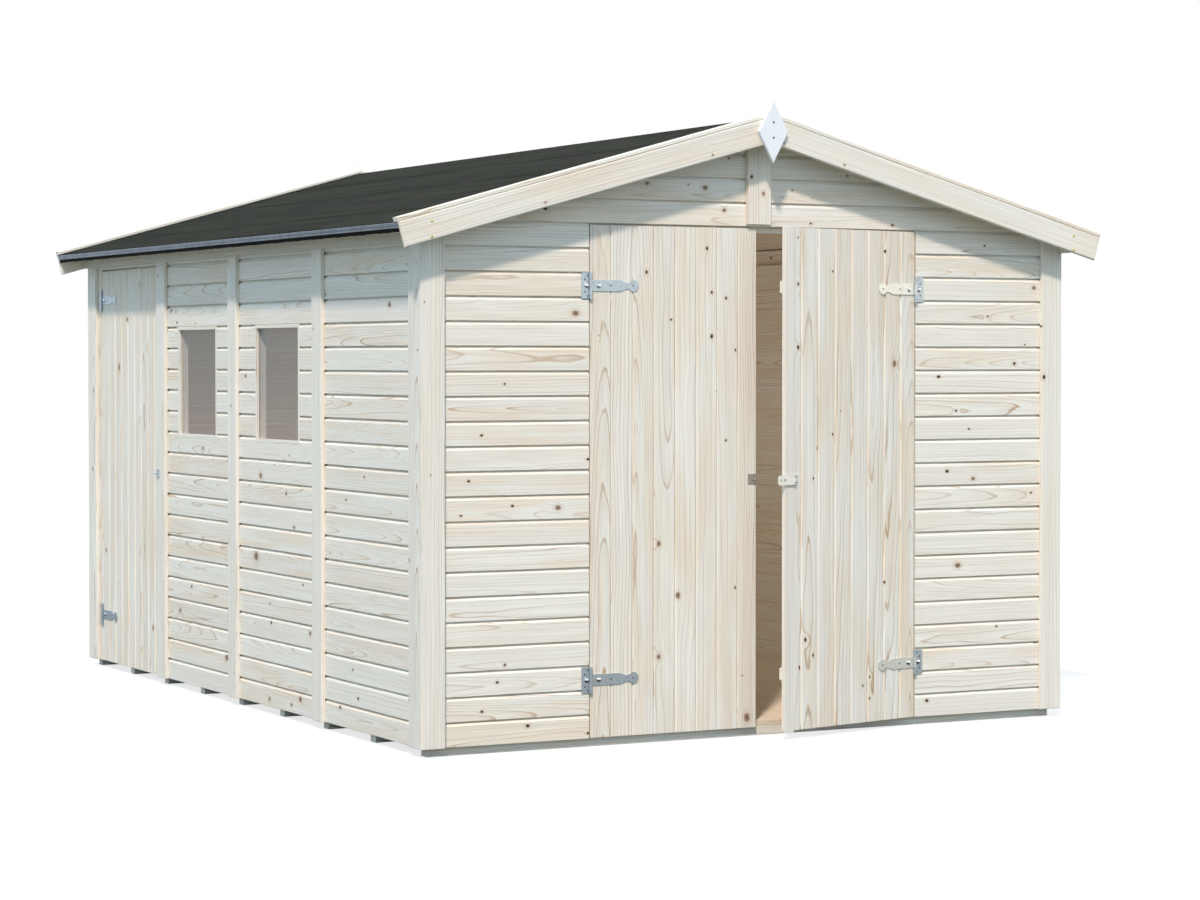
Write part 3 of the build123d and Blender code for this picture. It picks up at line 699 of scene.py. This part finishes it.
trims = Piece("wall_trim_timbers", "shed", ["wall_trims"], 42, pink=(0.0, 0.2))
trim_spans = [
    (-CLAD_Y, -CLAD_Y + TRIM), *(about(y, TRIM) for y in JOINTS),
    (SIDE_DOORWAY[0] - DOOR_TRIM, SIDE_DOORWAY[0]), (CLAD_Y - TRIM, CLAD_Y),
]
for start, end in trim_spans:
    trims.box((-SIDE_X, start, FOOT), (-CLAD_X, end, EAVES_FOOT), Z, (-1, 0, 0))
    trims.box((SIDE_X, start, FOOT), (CLAD_X, end, EAVES_FOOT), Z, (1, 0, 0))
trims.make(softwood)

# The eaves boards are painted darker than the rest: painted shade for the shadow under the roof overhang
eaves = Piece("eaves_board_timbers", "shed", ["eaves_boards"], 43, bright=(-9, -7))
for side in (-1, 1):
    outline = [
        (side * CLAD_X, -DECK_Y, EAVES_FOOT), (side * SIDE_X, -DECK_Y, EAVES_FOOT),
        (side * SIDE_X, -DECK_Y, roof_z(SIDE_X, SOFFIT)), (side * CLAD_X, -DECK_Y, roof_z(CLAD_X, SOFFIT)),
    ]
    eaves.board(outline, (0, 2 * DECK_Y, 0), Y, (side, 0, 0), 0.0008)
eaves.make(softwood)

strips = Piece("apex_strip_timbers", "shed", ["apex_strips"], 44)
strip_foot = DOOR_HEAD + LEAF_GAP
strip_top = roof_z(APEX_HALF, SOFFIT)
for out in (-1, 1):
    y = out * FRONT_Y
    outline = [
        (-APEX_HALF, y, strip_foot), (APEX_HALF, y, strip_foot), (APEX_HALF, y, strip_top),
        (0.0, y, roof_z(0, SOFFIT)), (-APEX_HALF, y, strip_top),
    ]
    strips.board(outline, (0, -out * BOARD, 0), Z, (0, out, 0), knots=APEX_KNOTS if out < 0 else ())
strips.make(softwood)

# Framing, floor and roof timbers
spans = [(-INNER_Y, -INNER_Y + STUD), *(about(y, STUD) for y in JOINTS),
         (SIDE_DOORWAY[0] - STUD, SIDE_DOORWAY[0]), (SIDE_DOORWAY[1], SIDE_DOORWAY[1] + STUD),
         (INNER_Y - STUD, INNER_Y)]
side_studs = Piece("side_stud_timbers", "shed", ["side_studs"], 51)
side_rails = Piece("side_rail_timbers", "shed", ["side_rails"], 52)
head = SIDE_HEAD - HEAD_LAP
for side in (-1, 1):
    x0, x1 = side * INNER_X, side * FRAME_X
    for start, end in spans:
        side_studs.box((x0, start, FLOOR_TOP), (x1, end, head), Z, (side, 0, 0))
    for (_, start), (end, _) in zip(spans, spans[1:]):
        if not (side < 0 and start == SIDE_DOORWAY[0]):
            side_rails.box((x0, start, FLOOR_TOP), (x1, end, FLOOR_TOP + STUD), Y, (side, 0, 0))
    side_rails.box((x0, -INNER_Y, head), (x1, INNER_Y, head + STUD), Y, (side, 0, 0))
side_studs.make(softwood)
side_rails.make(softwood)

gable_studs = Piece("gable_stud_timbers", "shed", ["gable_studs"], 53)
gable_rails = Piece("gable_rail_timbers", "shed", ["gable_rails"], 54)
rail_foot = DOOR_HEAD - HEAD_LAP
rail_top = roof_z(FRAME_X, SOFFIT)
corner_pair = [(-FRAME_X, -FRAME_X + STUD), (FRAME_X - STUD, FRAME_X)]
jambs = [(-DOOR_X - STUD, -DOOR_X), (DOOR_X, DOOR_X + STUD)]
for out, inner_studs in ((-1, jambs), (1, [about(0.0, STUD)])):
    studs = sorted(corner_pair + inner_studs)
    y0, y1 = out * INNER_Y, out * FRAME_Y
    for start, end in studs:
        gable_studs.box((start, y0, FLOOR_TOP), (end, y1, rail_foot), Z, (0, out, 0))
    for (_, start), (end, _) in zip(studs, studs[1:]):
        if not (out < 0 and start < 0 < end):
            gable_rails.box((start, y0, FLOOR_TOP), (end, y1, FLOOR_TOP + STUD), X, (0, out, 0))
    gable_rails.box((-FRAME_X, y0, rail_foot), (FRAME_X, y1, rail_top), X, (0, out, 0))
gable_studs.make(softwood)
gable_rails.make(softwood)

floor_piece = Piece("floor_boards", "shed", ["floor"], 55, "floor_wood")
floor_width = 2 * INNER_X / FLOOR_BOARDS
for k in range(FLOOR_BOARDS):
    x0 = -INNER_X + k * floor_width
    x1 = x0 + floor_width
    section = [(x0 + 0.0002, BEARER_TOP), (x1 - 0.0002, BEARER_TOP), (x1 - 0.0002, FLOOR_TOP - 0.0015),
               (x1 - 0.0017, FLOOR_TOP), (x0 + 0.0017, FLOOR_TOP), (x0 + 0.0002, FLOOR_TOP - 0.0015)]
    floor_piece.board([(x, -INNER_Y, z) for x, z in section], (0, 2 * INNER_Y, 0), Y, Z, 0.0008)
floor_piece.make(floor_wood)

bearers = Piece("bearer_timbers", "shed", ["floor_bearers"], 56, "floor_wood")
pitch = (2 * INNER_Y - STUD) / (BEARERS - 1)
for k in range(BEARERS):
    start, end = about(-INNER_Y + STUD / 2 + k * pitch, STUD)
    bearers.box((-INNER_X, start, 0.0), (INNER_X, end, BEARER_TOP), X, Z)
bearers.make(softwood)

beams = Piece("roof_beam_timbers", "shed", ["roof_beams"], 57)
beam_foot = roof_z(0, SOFFIT) - BEAM_DEPTH
beam_side = roof_z(BEAM_HALF, SOFFIT)
beam = [(-BEAM_HALF, beam_foot), (BEAM_HALF, beam_foot), (BEAM_HALF, beam_side), (0.0, roof_z(0, SOFFIT)),
        (-BEAM_HALF, beam_side)]
beams.board([(x, -INNER_Y, z) for x, z in beam], (0, 2 * INNER_Y, 0), Y, X, 0.001)
for side in (-1, 1):
    x0, x1 = PURLIN
    foot = roof_z(x1, SOFFIT) - PURLIN_DEPTH
    purlin = [(x0, foot), (x1, foot), (x1, roof_z(x1, SOFFIT)), (x0, roof_z(x0, SOFFIT))]
    beams.board([(side * x, -INNER_Y, z) for x, z in purlin], (0, 2 * INNER_Y, 0), Y, X, 0.001)
beams.make(softwood)

deck_reach = SLOPE_LENGTH - 2 * EDGE_SETBACK
for side, side_name in SIDES:
    deck = Piece(f"{side_name}_deck_boards", "shed", [f"{side_name}_roof_deck"], 60 + side)
    for k in range(DECK_BOARDS):
        start = k * deck_reach / DECK_BOARDS
        end = (k + 1) * deck_reach / DECK_BOARDS
        if k == 0:
            ridge = [(0.0, -DECK_Y, roof_z(0, depth)) for depth in (SOFFIT, FELT)]
            section = [roof_point(side, end, depth, -DECK_Y) for depth in (FELT, SOFFIT)] + ridge
        else:
            places = [(start, FELT), (end, FELT), (end, SOFFIT - DECK_EASE), (end - DECK_EASE, SOFFIT),
                      (start + DECK_EASE, SOFFIT), (start, SOFFIT - DECK_EASE)]
            section = [roof_point(side, reach, depth, -DECK_Y) for reach, depth in places]
        deck.board(section, (0, 2 * DECK_Y, 0), Y, (-side * SIN, 0, -COS), 0.0006)
    deck.make(softwood)

# Bargeboards, cap strips and diamond finials
for side, side_name in SIDES:
    barge = Piece(f"{side_name}_bargeboard_timbers", "shed", [f"{side_name}_bargeboards"], 70 + side,
                  pink=(0.35, 0.75))
    caps = Piece(f"{side_name}_cap_timbers", "shed", [f"{side_name}_caps"], 74 + side)
    slope_way = (side * COS, 0, -SIN)
    for out in (-1, 1):
        y = out * BARGE_Y
        barge_foot = CAP + TRIM
        outline = [(0.0, y, roof_z(0, CAP)), roof_point(side, SLOPE_LENGTH, CAP, y),
                   roof_point(side, SLOPE_LENGTH, barge_foot, y), (0.0, y, roof_z(0, barge_foot))]
        middle = roof_point(side, SLOPE_LENGTH / 2, CAP + TRIM / 2, y)
        spots = [(reach - SLOPE_LENGTH / 2, -BARGE_KNOT_RISE * side, radius)
                 for place, reach, radius in BARGE_KNOTS if out < 0 and place == side]
        grown = barge.look(straight=1.0, growth=(0.7, 1.0))
        barge.board(outline, (0, -out * BOARD, 0), slope_way, (0, out, 0), 0.004, grown, middle, spots)
        outline = [(0.0, y, roof_z(0, 0)), roof_point(side, SLOPE_LENGTH, 0, y),
                   roof_point(side, SLOPE_LENGTH, CAP, y), (0.0, y, roof_z(0, CAP))]
        grown = caps.look(straight=1.0, growth=(0.5, 0.8))
        caps.board(outline, (0, -out * CAP_WIDTH, 0), slope_way, (side * SIN, 0, COS), 0.0025, grown)
    barge.make(softwood)
    caps.make(softwood)

finials = Piece("finial_diamonds", "shed", ["finials"], 80, "white_wood")
for out in (-1, 1):
    y = out * (BARGE_Y + BOARD)
    mid = RIDGE - FINIAL_DROP
    half_width, half_height = FINIAL_HALF
    outline = [(0.0, y, mid - half_height), (half_width, y, mid), (0.0, y, mid + half_height),
               (-half_width, y, mid)]
    finials.board(outline, (0, -out * BOARD, 0), Z, (0, out, 0), 0.002)
finials.make(white_wood)

# Roof covering: felt in lapped strips along each slope, a metal drip edge and the hem of felt under it
LAPS = (0.0, 0.330, 0.720, 1.240, SLOPE_LENGTH - EDGE_SETBACK)
LAP = 0.050
LAP_TAPER = 0.060
STEPS = 60
for side, side_name in SIDES:
    sheet = Piece(f"{side_name}_felt_strips", "shed", [f"{side_name}_roof_felt"], 90 + side, "roofing_felt")
    stations = np.linspace(-DECK_Y, DECK_Y, STEPS + 1)
    for k, (start, end) in enumerate(zip(LAPS, LAPS[1:])):
        last = k == len(LAPS) - 2
        rings = []
        for y in stations:
            lip = 0.0016 * math.sin(2.3 * y + 1.7 * k) + 0.0008 * math.sin(7.1 * y + k)
            foot = end + (0.0 if last else LAP + lip)
            rise = 0.0 if last else 0.0013 + 0.0003 * math.sin(5.0 * y + 2.0 * k)
            places = [(end - LAP_TAPER, CAP), (foot - 0.003, CAP - rise), (foot, CAP - rise + 0.001),
                      (foot, CAP + 0.0028), (end - LAP_TAPER, FELT)]
            start_top, start_low = (roof_point(side, start, depth, y) for depth in (CAP, FELT))
            if k == 0:
                start_top, start_low = ((0.0, y, roof_z(0, depth)) for depth in (CAP, FELT))
            rest = [roof_point(side, reach, depth, y) for reach, depth in places]
            rings.append([start_top, *rest, start_low])
        sheet.rings(rings)
    sheet.make(felt)

# Section of the drip edge: out along the slope, down square to it
DRIP = [
    (-0.003, 0.0), (0.0005, 0.0), (0.0022, 0.0015), (0.0018, 0.0080), (0.0006, 0.0150), (0.0012, 0.0175),
    (0.0008, 0.0200), (-0.0018, 0.0200), (-0.0026, 0.0170), (-0.0018, 0.0120), (-0.0010, 0.0040),
    (-0.003, 0.0025),
]
drip = Piece("drip_edge_strips", "shed", ["drip_edges"], 95, "roof_metal")
for side in (-1, 1):
    reach = SLOPE_LENGTH - EDGE_SETBACK
    section = [roof_point(side, reach + s, FELT + n, -DECK_Y) for s, n in DRIP]
    drip.rings([section, [(x, DECK_Y, z) for x, y, z in section]])
drip.make(roof_metal)

HEM = 0.002
HEM_FALL = 0.0155
HEM_STEPS = 240
hem = Piece("felt_hems", "shed", seed=96, slot="roofing_felt")
for side in (-1, 1):
    rings = []
    for y in np.linspace(-DECK_Y + 0.001, DECK_Y - 0.001, HEM_STEPS + 1):
        fall = HEM_FALL + 0.0005 * math.sin(31.0 * y) + 0.0005 * math.sin(83.0 * y + 1.0)
        x, _, z = roof_point(side, SLOPE_LENGTH - 0.007, FELT + 0.019, y)
        outer = x + side * HEM
        rings.append([(x, y, z), (outer, y, z), (outer, y, z - fall), (x, y, z - fall)])
    hem.rings(rings)
hem.make(under_felt)

# Doors of upright boards with V joints, each in its own leaf frame: along the leaf, outward, up
left_frame = (np.array((-HINGE_X, HINGE_Y, 0)), X, -Y)
right_frame = (np.array((HINGE_X, HINGE_Y, 0)), np.array((-math.cos(AJAR), -math.sin(AJAR), 0)),
               np.array((math.sin(AJAR), -math.cos(AJAR), 0)))
side_frame = (np.array((*SIDE_HINGE, 0)), -Y, -X)

LEAF_EASE = 0.0006
STRIP_DEPTH = 0.003
STRIP_DROP = 0.007


def leaf_boards(name, body, node, base, reach, top, joints, seed, knots, vee, strip=0.0, bright=(-1, 1)):
    """A leaf's boards between joints. strip is the width of a cover strip along its free edge."""
    origin, along, out = base
    leaf = Piece(name, body, [node], seed, pink=(0.30, 0.84), bright=bright)
    low = LEAF_FOOT
    edges = [0.001, *joints, reach]
    for start, end in zip(edges, edges[1:]):
        a, b = start + LEAF_EASE, end - LEAF_EASE
        vee_a = LEAF_EASE if start == edges[0] else vee
        vee_b = LEAF_EASE if end == edges[-1] else vee
        section = [
            (a, -vee_a), (a + vee_a, 0.0), (b - vee_b, 0.0), (b, -vee_b), (b, -LEAF + 0.001),
            (b - 0.001, -LEAF), (a + 0.001, -LEAF), (a, -LEAF + 0.001),
        ]
        outline = [origin + along * s + out * (d - FACE_DEPTH) + Z * low for s, d in section]
        middle = origin + along * (start + end) / 2 - out * FACE_DEPTH + Z * (low + top) / 2
        flip = 1 if np.cross(out, Z) @ along > 0 else -1
        spots = [(z - (low + top) / 2, flip * (s - (start + end) / 2), r)
                 for s, z, r in knots if start <= s < end]
        grown = leaf.look(end - start, 0.1, top - low, 0.4, (0.6, 1.2))
        leaf.board(outline, Z * (top - low), Z, out, LEAF_EASE, grown, middle, spots)
    if strip:
        foot = low - STRIP_DROP
        section = [(reach - strip, 0.0), (reach - strip, STRIP_DEPTH), (reach, STRIP_DEPTH), (reach, 0.0)]
        outline = [origin + along * s + out * (d - FACE_DEPTH) + Z * foot for s, d in section]
        leaf.board(outline, Z * (top - foot), Z, out, LEAF_EASE, leaf.look(strip, 0.3, top - foot))
    leaf.make(softwood)


LEAF_BOARD = 0.0875
front_top = DOOR_HEAD - LEAF_GAP
side_top = SIDE_HEAD - LEAF_GAP
left_joints = [LEAF_BOARD * k - 0.002 for k in range(1, 8)]
right_joints = [0.602 - LEAF_BOARD * k for k in range(6, -1, -1)]
side_joints = [LEAF_BOARD * k - 0.0005 for k in range(1, 9)]
leaf_boards("left_leaf_boards", "left_door", "left_leaf", left_frame, FRONT_LEAF, front_top,
            left_joints, 101, LEFT_LEAF_KNOTS, vee=0.0036, bright=(-2.4, -0.4))
# The right leaf's boards are painted lighter: painted light making up for the ajar leaf turning away from the
# sun
leaf_boards("right_leaf_boards", "right_door", "right_leaf", right_frame, FRONT_LEAF, front_top,
            right_joints, 102, RIGHT_LEAF_KNOTS, vee=0.0052, strip=0.045, bright=(0.2, 2.0))
leaf_boards("side_leaf_boards", "side_door", "side_leaf", side_frame, SIDE_LEAF, side_top,
            side_joints, 103, SIDE_LEAF_KNOTS, vee=0.0062)

LEDGE_HALF = 0.022
LEDGE_DEPTH = 0.018
LEDGE_ENDS = (0.009, 0.005)
for name, body, node, base, reach in (
    ("left_ledge_timbers", "left_door", "left_ledges", left_frame, FRONT_LEAF),
    ("right_ledge_timbers", "right_door", "right_ledges", right_frame, FRONT_LEAF),
    ("side_ledge_timbers", "side_door", "side_ledges", side_frame, SIDE_LEAF),
):
    origin, along, out = base
    ledges = Piece(name, body, [node], 110)
    start, end = LEDGE_ENDS[0], reach - LEDGE_ENDS[1]
    for height in HINGE_Z:
        low, high = height - LEDGE_HALF, height + LEDGE_HALF
        back = origin - out * (FACE_DEPTH + LEAF)
        places = ((start, low), (end, low), (end, high), (start, high))
        outline = [back + along * s + Z * z for s, z in places]
        ledges.board(outline, -out * LEDGE_DEPTH, along, -out, 0.002)
    ledges.make(softwood)


# Fasteners: bolts, screws and nails, turned about the way they are driven
def turned(piece, centre, out, profile, sides=14):
    """A round head: a profile of (radius, height) turned about out."""
    out = unit(out)
    side = unit(np.cross(out, Z if abs(out[2]) < 0.9 else X))
    up = np.cross(out, side)
    rings = []
    for radius, height in profile:
        rings.append([centre + out * height + radius * (math.cos(t) * side + math.sin(t) * up)
                      for t in np.linspace(0, 2 * math.pi, sides, endpoint=False)])
    piece.rings(rings)


# Heads as (radius, height)
DOME = [(0.0095, 0.0), (0.0095, 0.0006), (0.0089, 0.0022), (0.0070, 0.0041), (0.0039, 0.0055),
        (0.0004, 0.0060)]
COUNTERSUNK = [(0.0034, 0.0), (0.0034, 0.0003), (0.0026, 0.0003), (0.0016, 0.0001), (0.0004, 0.0001)]
SCREW = [(0.0042, 0.0), (0.0040, 0.0004), (0.0030, 0.0004), (0.0018, 0.0001), (0.0004, 0.0001)]
NAIL = [(0.0058, 0.0), (0.0055, 0.0007), (0.0036, 0.0013), (0.0004, 0.0014)]

# Where they sit: reach from the hinge's axis, and rise. Then the thickness of what they hold
PLATE_BOLT = 0.0155
PLATE_HOLES = [(0.010, 0.036), (0.022, 0.021), (0.022, -0.023), (0.010, -0.038)]
STRAP_BOLT = 0.0335
STRAP_HOLES = (0.083, 0.174)
HASP_HOLES = [(0.6285, 0.010), (0.6285, -0.010)]
STAPLE_HOLES = [(0.659, 0.0135), (0.659, -0.0135), (0.679, 0.0135), (0.679, -0.0135)]
SIDE_STAPLE_HOLES = (0.013, -0.013)
HINGE_SHEET = 0.003
HASP_SHEET = 0.0025
STAPLE_SHEET = 0.002


def metal_face(base, sheet, height):
    """A point on the outer face of a fitting, over the hinge's axis, with the leaf's two ways."""
    origin, along, out = base
    return origin - out * (FACE_DEPTH - sheet) + Z * height, along, out


bodies = ("shed", "left_door", "right_door", "side_door")
bolt_sets = {body: Piece(f"{body}_bolts", body, slot="galvanised_steel") for body in bodies}
screw_sets = {body: Piece(f"{body}_screws", body, slot="galvanised_steel") for body in bodies}
right_shut = (np.array((HINGE_X, HINGE_Y, 0)), -X, -Y)
for body, base, shut in (("left_door", left_frame, left_frame), ("right_door", right_frame, right_shut),
                         ("side_door", side_frame, side_frame)):
    for height in HINGE_Z:
        face, along, out = metal_face(shut, HINGE_SHEET, height)
        turned(bolt_sets["shed"], face - along * PLATE_BOLT, out, DOME)
        for reach, rise in PLATE_HOLES:
            turned(screw_sets["shed"], face - along * reach + Z * rise, out, COUNTERSUNK, 10)
        face, along, out = metal_face(base, HINGE_SHEET, height)
        turned(bolt_sets[body], face + along * STRAP_BOLT, out, DOME)
        for reach in STRAP_HOLES:
            turned(screw_sets[body], face + along * reach, out, COUNTERSUNK, 10)
face, along, out = metal_face(right_frame, HASP_SHEET, HASP_Z)
for reach, rise in HASP_HOLES:
    turned(screw_sets["right_door"], face + along * reach + Z * rise, out, COUNTERSUNK, 10)
face, along, out = metal_face(left_frame, STAPLE_SHEET, HASP_Z)
for reach, rise in STAPLE_HOLES:
    turned(bolt_sets["left_door"], face + along * reach + Z * rise, out, SCREW, 10)
for rise in SIDE_STAPLE_HOLES:
    y, z = SIDE_STAPLE
    turned(screw_sets["shed"], np.array((-SIDE_X - STAPLE_SHEET, y, z + rise)), -X, COUNTERSUNK, 10)
for piece in bolt_sets.values():
    piece.make(bolt_steel, smooth=True)
for piece in screw_sets.values():
    piece.make(hole_shade_steel)

FINIAL_SCREW_Z = (2.247, 2.191)
BARGE_NAIL_X = 1.355
BARGE_NAIL_Z = (1.861, 1.807)
finial_screws = Piece("finial_screws", "shed", slot="galvanised_steel")
nails = Piece("bargeboard_nails", "shed", slot="galvanised_steel")
for out in (-1, 1):
    for z in FINIAL_SCREW_Z:
        turned(finial_screws, np.array((0.0, out * (BARGE_Y + BOARD), z)), (0, out, 0), SCREW, 12)
    for x in (-BARGE_NAIL_X, BARGE_NAIL_X):
        for z in BARGE_NAIL_Z:
            turned(nails, np.array((x, out * BARGE_Y, z)), (0, out, 0), NAIL, 12)
finial_screws.make(dark_screw)
nails.make(brass_nail, smooth=True)

# Solids that keep their shape get their finish
finishes = {
    # The right leaf's straps take the lighter copy with the painted glint
    "hinge_plates": zinc, "left_hinge_straps": zinc, "right_hinge_straps": zinc_painted_glint, "side_hinge_straps": zinc,
    "side_staple": zinc, "right_hasp_plate": zinc, "left_staple": staple, "right_hasp_strap": zinc_painted_glint,
    "window_panes": glass,
}
for name, finish in finishes.items():
    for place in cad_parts[name].material_slots:
        place.material = finish

# Stage: a pale floor that keeps the shadow, soft daylight from the front left, white all round
WHITE = (1.0, 1.0, 1.0)
FLOOR_REACH = 60.0


def seen_rays(g, ray):
    """1 for rays from the camera, a mirror or glass."""
    bent = g.math("MAXIMUM", ray["Is Glossy Ray"], ray["Is Transmission Ray"])
    return g.math("MAXIMUM", ray["Is Camera Ray"], bent)


floor_corners = [(x * FLOOR_REACH, y * FLOOR_REACH, -0.001) for x, y in ((-1, -1), (1, -1), (1, 1), (-1, 1))]
floor_mesh = bpy.data.meshes.new("studio_floor")
floor_mesh.from_pydata(floor_corners, [], [(0, 1, 2, 3)])
studio_floor = placed("studio_floor", floor_mesh)
g = Graph(bpy.data.materials.new("studio_floor"))
ray = g.node("LightPath").outputs
glow = g.node("Emission")
g.put(glow.inputs["Color"], (*WHITE, 1.0))
g.put(glow.inputs["Strength"], 1.0)
away = g.vector("LENGTH", g.node("NewGeometry").outputs["Position"], output=1)
mirrored = g.math("MULTIPLY", ray["Is Glossy Ray"], g.ramp(away, 4.0, 10.0, 1.0, 0.0))
rays = g.math("SUBTRACT", seen_rays(g, ray), mirrored)
ground = g.mix(mirrored, (0.17, 0.185, 0.160), (0.045, 0.048, 0.045))
g.set(Base_Color=g.mix(rays, ground, (0.96, 0.96, 0.96)), Roughness=0.9, Specular_IOR_Level=0.0)
g.choose("Material Output", g.math("MULTIPLY", rays, 0.76), g.shader.outputs[0], glow.outputs[0])
floor_mesh.materials.append(g.owner)

# The sky lights the shed from all round. Metal and glass show white, and a warm bright side to the right
world = bpy.data.worlds.new("studio")
bpy.context.scene.world = world
g = Graph(world)
ray = g.node("LightPath").outputs
sky = g.tree.nodes["Background"]
g.put(sky.inputs["Color"], (0.50, 0.67, 0.85, 1.0))
g.put(sky.inputs["Strength"], 1.15)
way = g.parts(g.node("TexCoord").outputs["Generated"])
bright_side = g.ramp(way["X"], 0.62, 0.76, smooth=False)
mirrored = g.mix(bright_side, (0.82, 0.92, 1.0), (2.75, 2.25, 1.65))
plain = g.node("Background")
g.put(plain.inputs["Color"], g.mix(ray["Is Glossy Ray"], WHITE, mirrored))
g.put(plain.inputs["Strength"], 1.0)
g.choose("World Output", seen_rays(g, ray), sky.outputs[0], plain.outputs[0])


def sun(name, way, energy, colour, angle):
    lamp = bpy.data.lights.new(name, "SUN")
    lamp.energy = energy
    lamp.color = colour
    lamp.angle = math.radians(angle)
    x, y, z = unit(way)
    placed(name, lamp).rotation_euler = (math.acos(-z), 0.0, math.atan2(y, x) - math.pi / 2)


sun("key", (0.815, 1.04, -1.551), 3.12, (1.0, 0.882, 0.805), 4.0)
sun("side_fill", (1.0, 0.10, -0.10), 0.28, (0.48, 0.76, 1.0), 60.0)
sun("front_fill", (-0.60, 1.0, -0.25), 0.14, (1.0, 0.92, 0.80), 60.0)
sun("back_fill", (-0.8, -1.0, -0.55), 0.9, (1.0, 0.97, 0.93), 40.0)

room_lamp = bpy.data.lights.new("room_fill", "POINT")
room_lamp.energy = 12.0
room_lamp.color = (1.0, 0.92, 0.84)
room_lamp.shadow_soft_size = 0.5
room = placed("room_fill", room_lamp)
room.location = (0.0, 0.2, 1.15)
room.visible_camera = False

# The camera stands where the photograph was taken from. Its lens is written in pixels of the frame's width
FRAME_PIXELS = 1200
FOCAL_PIXELS = 3007.6
RISE_PIXELS = -22.46
CAMERA_TILT = 1.33
CAMERA_TURN = -27.671
camera_data = bpy.data.cameras.new("camera")
camera_data.sensor_width = 36.0
camera_data.lens = FOCAL_PIXELS / FRAME_PIXELS * camera_data.sensor_width
camera_data.shift_y = RISE_PIXELS / FRAME_PIXELS
camera_data.clip_end = 200.0
camera = placed("camera", camera_data)
camera.location = (-5.6429, -11.3368, 1.3922)
camera.rotation_euler = (math.radians(90 - CAMERA_TILT), 0.0, math.radians(CAMERA_TURN))
bpy.context.scene.camera = camera
bpy.context.scene.view_settings.view_transform = "Standard"
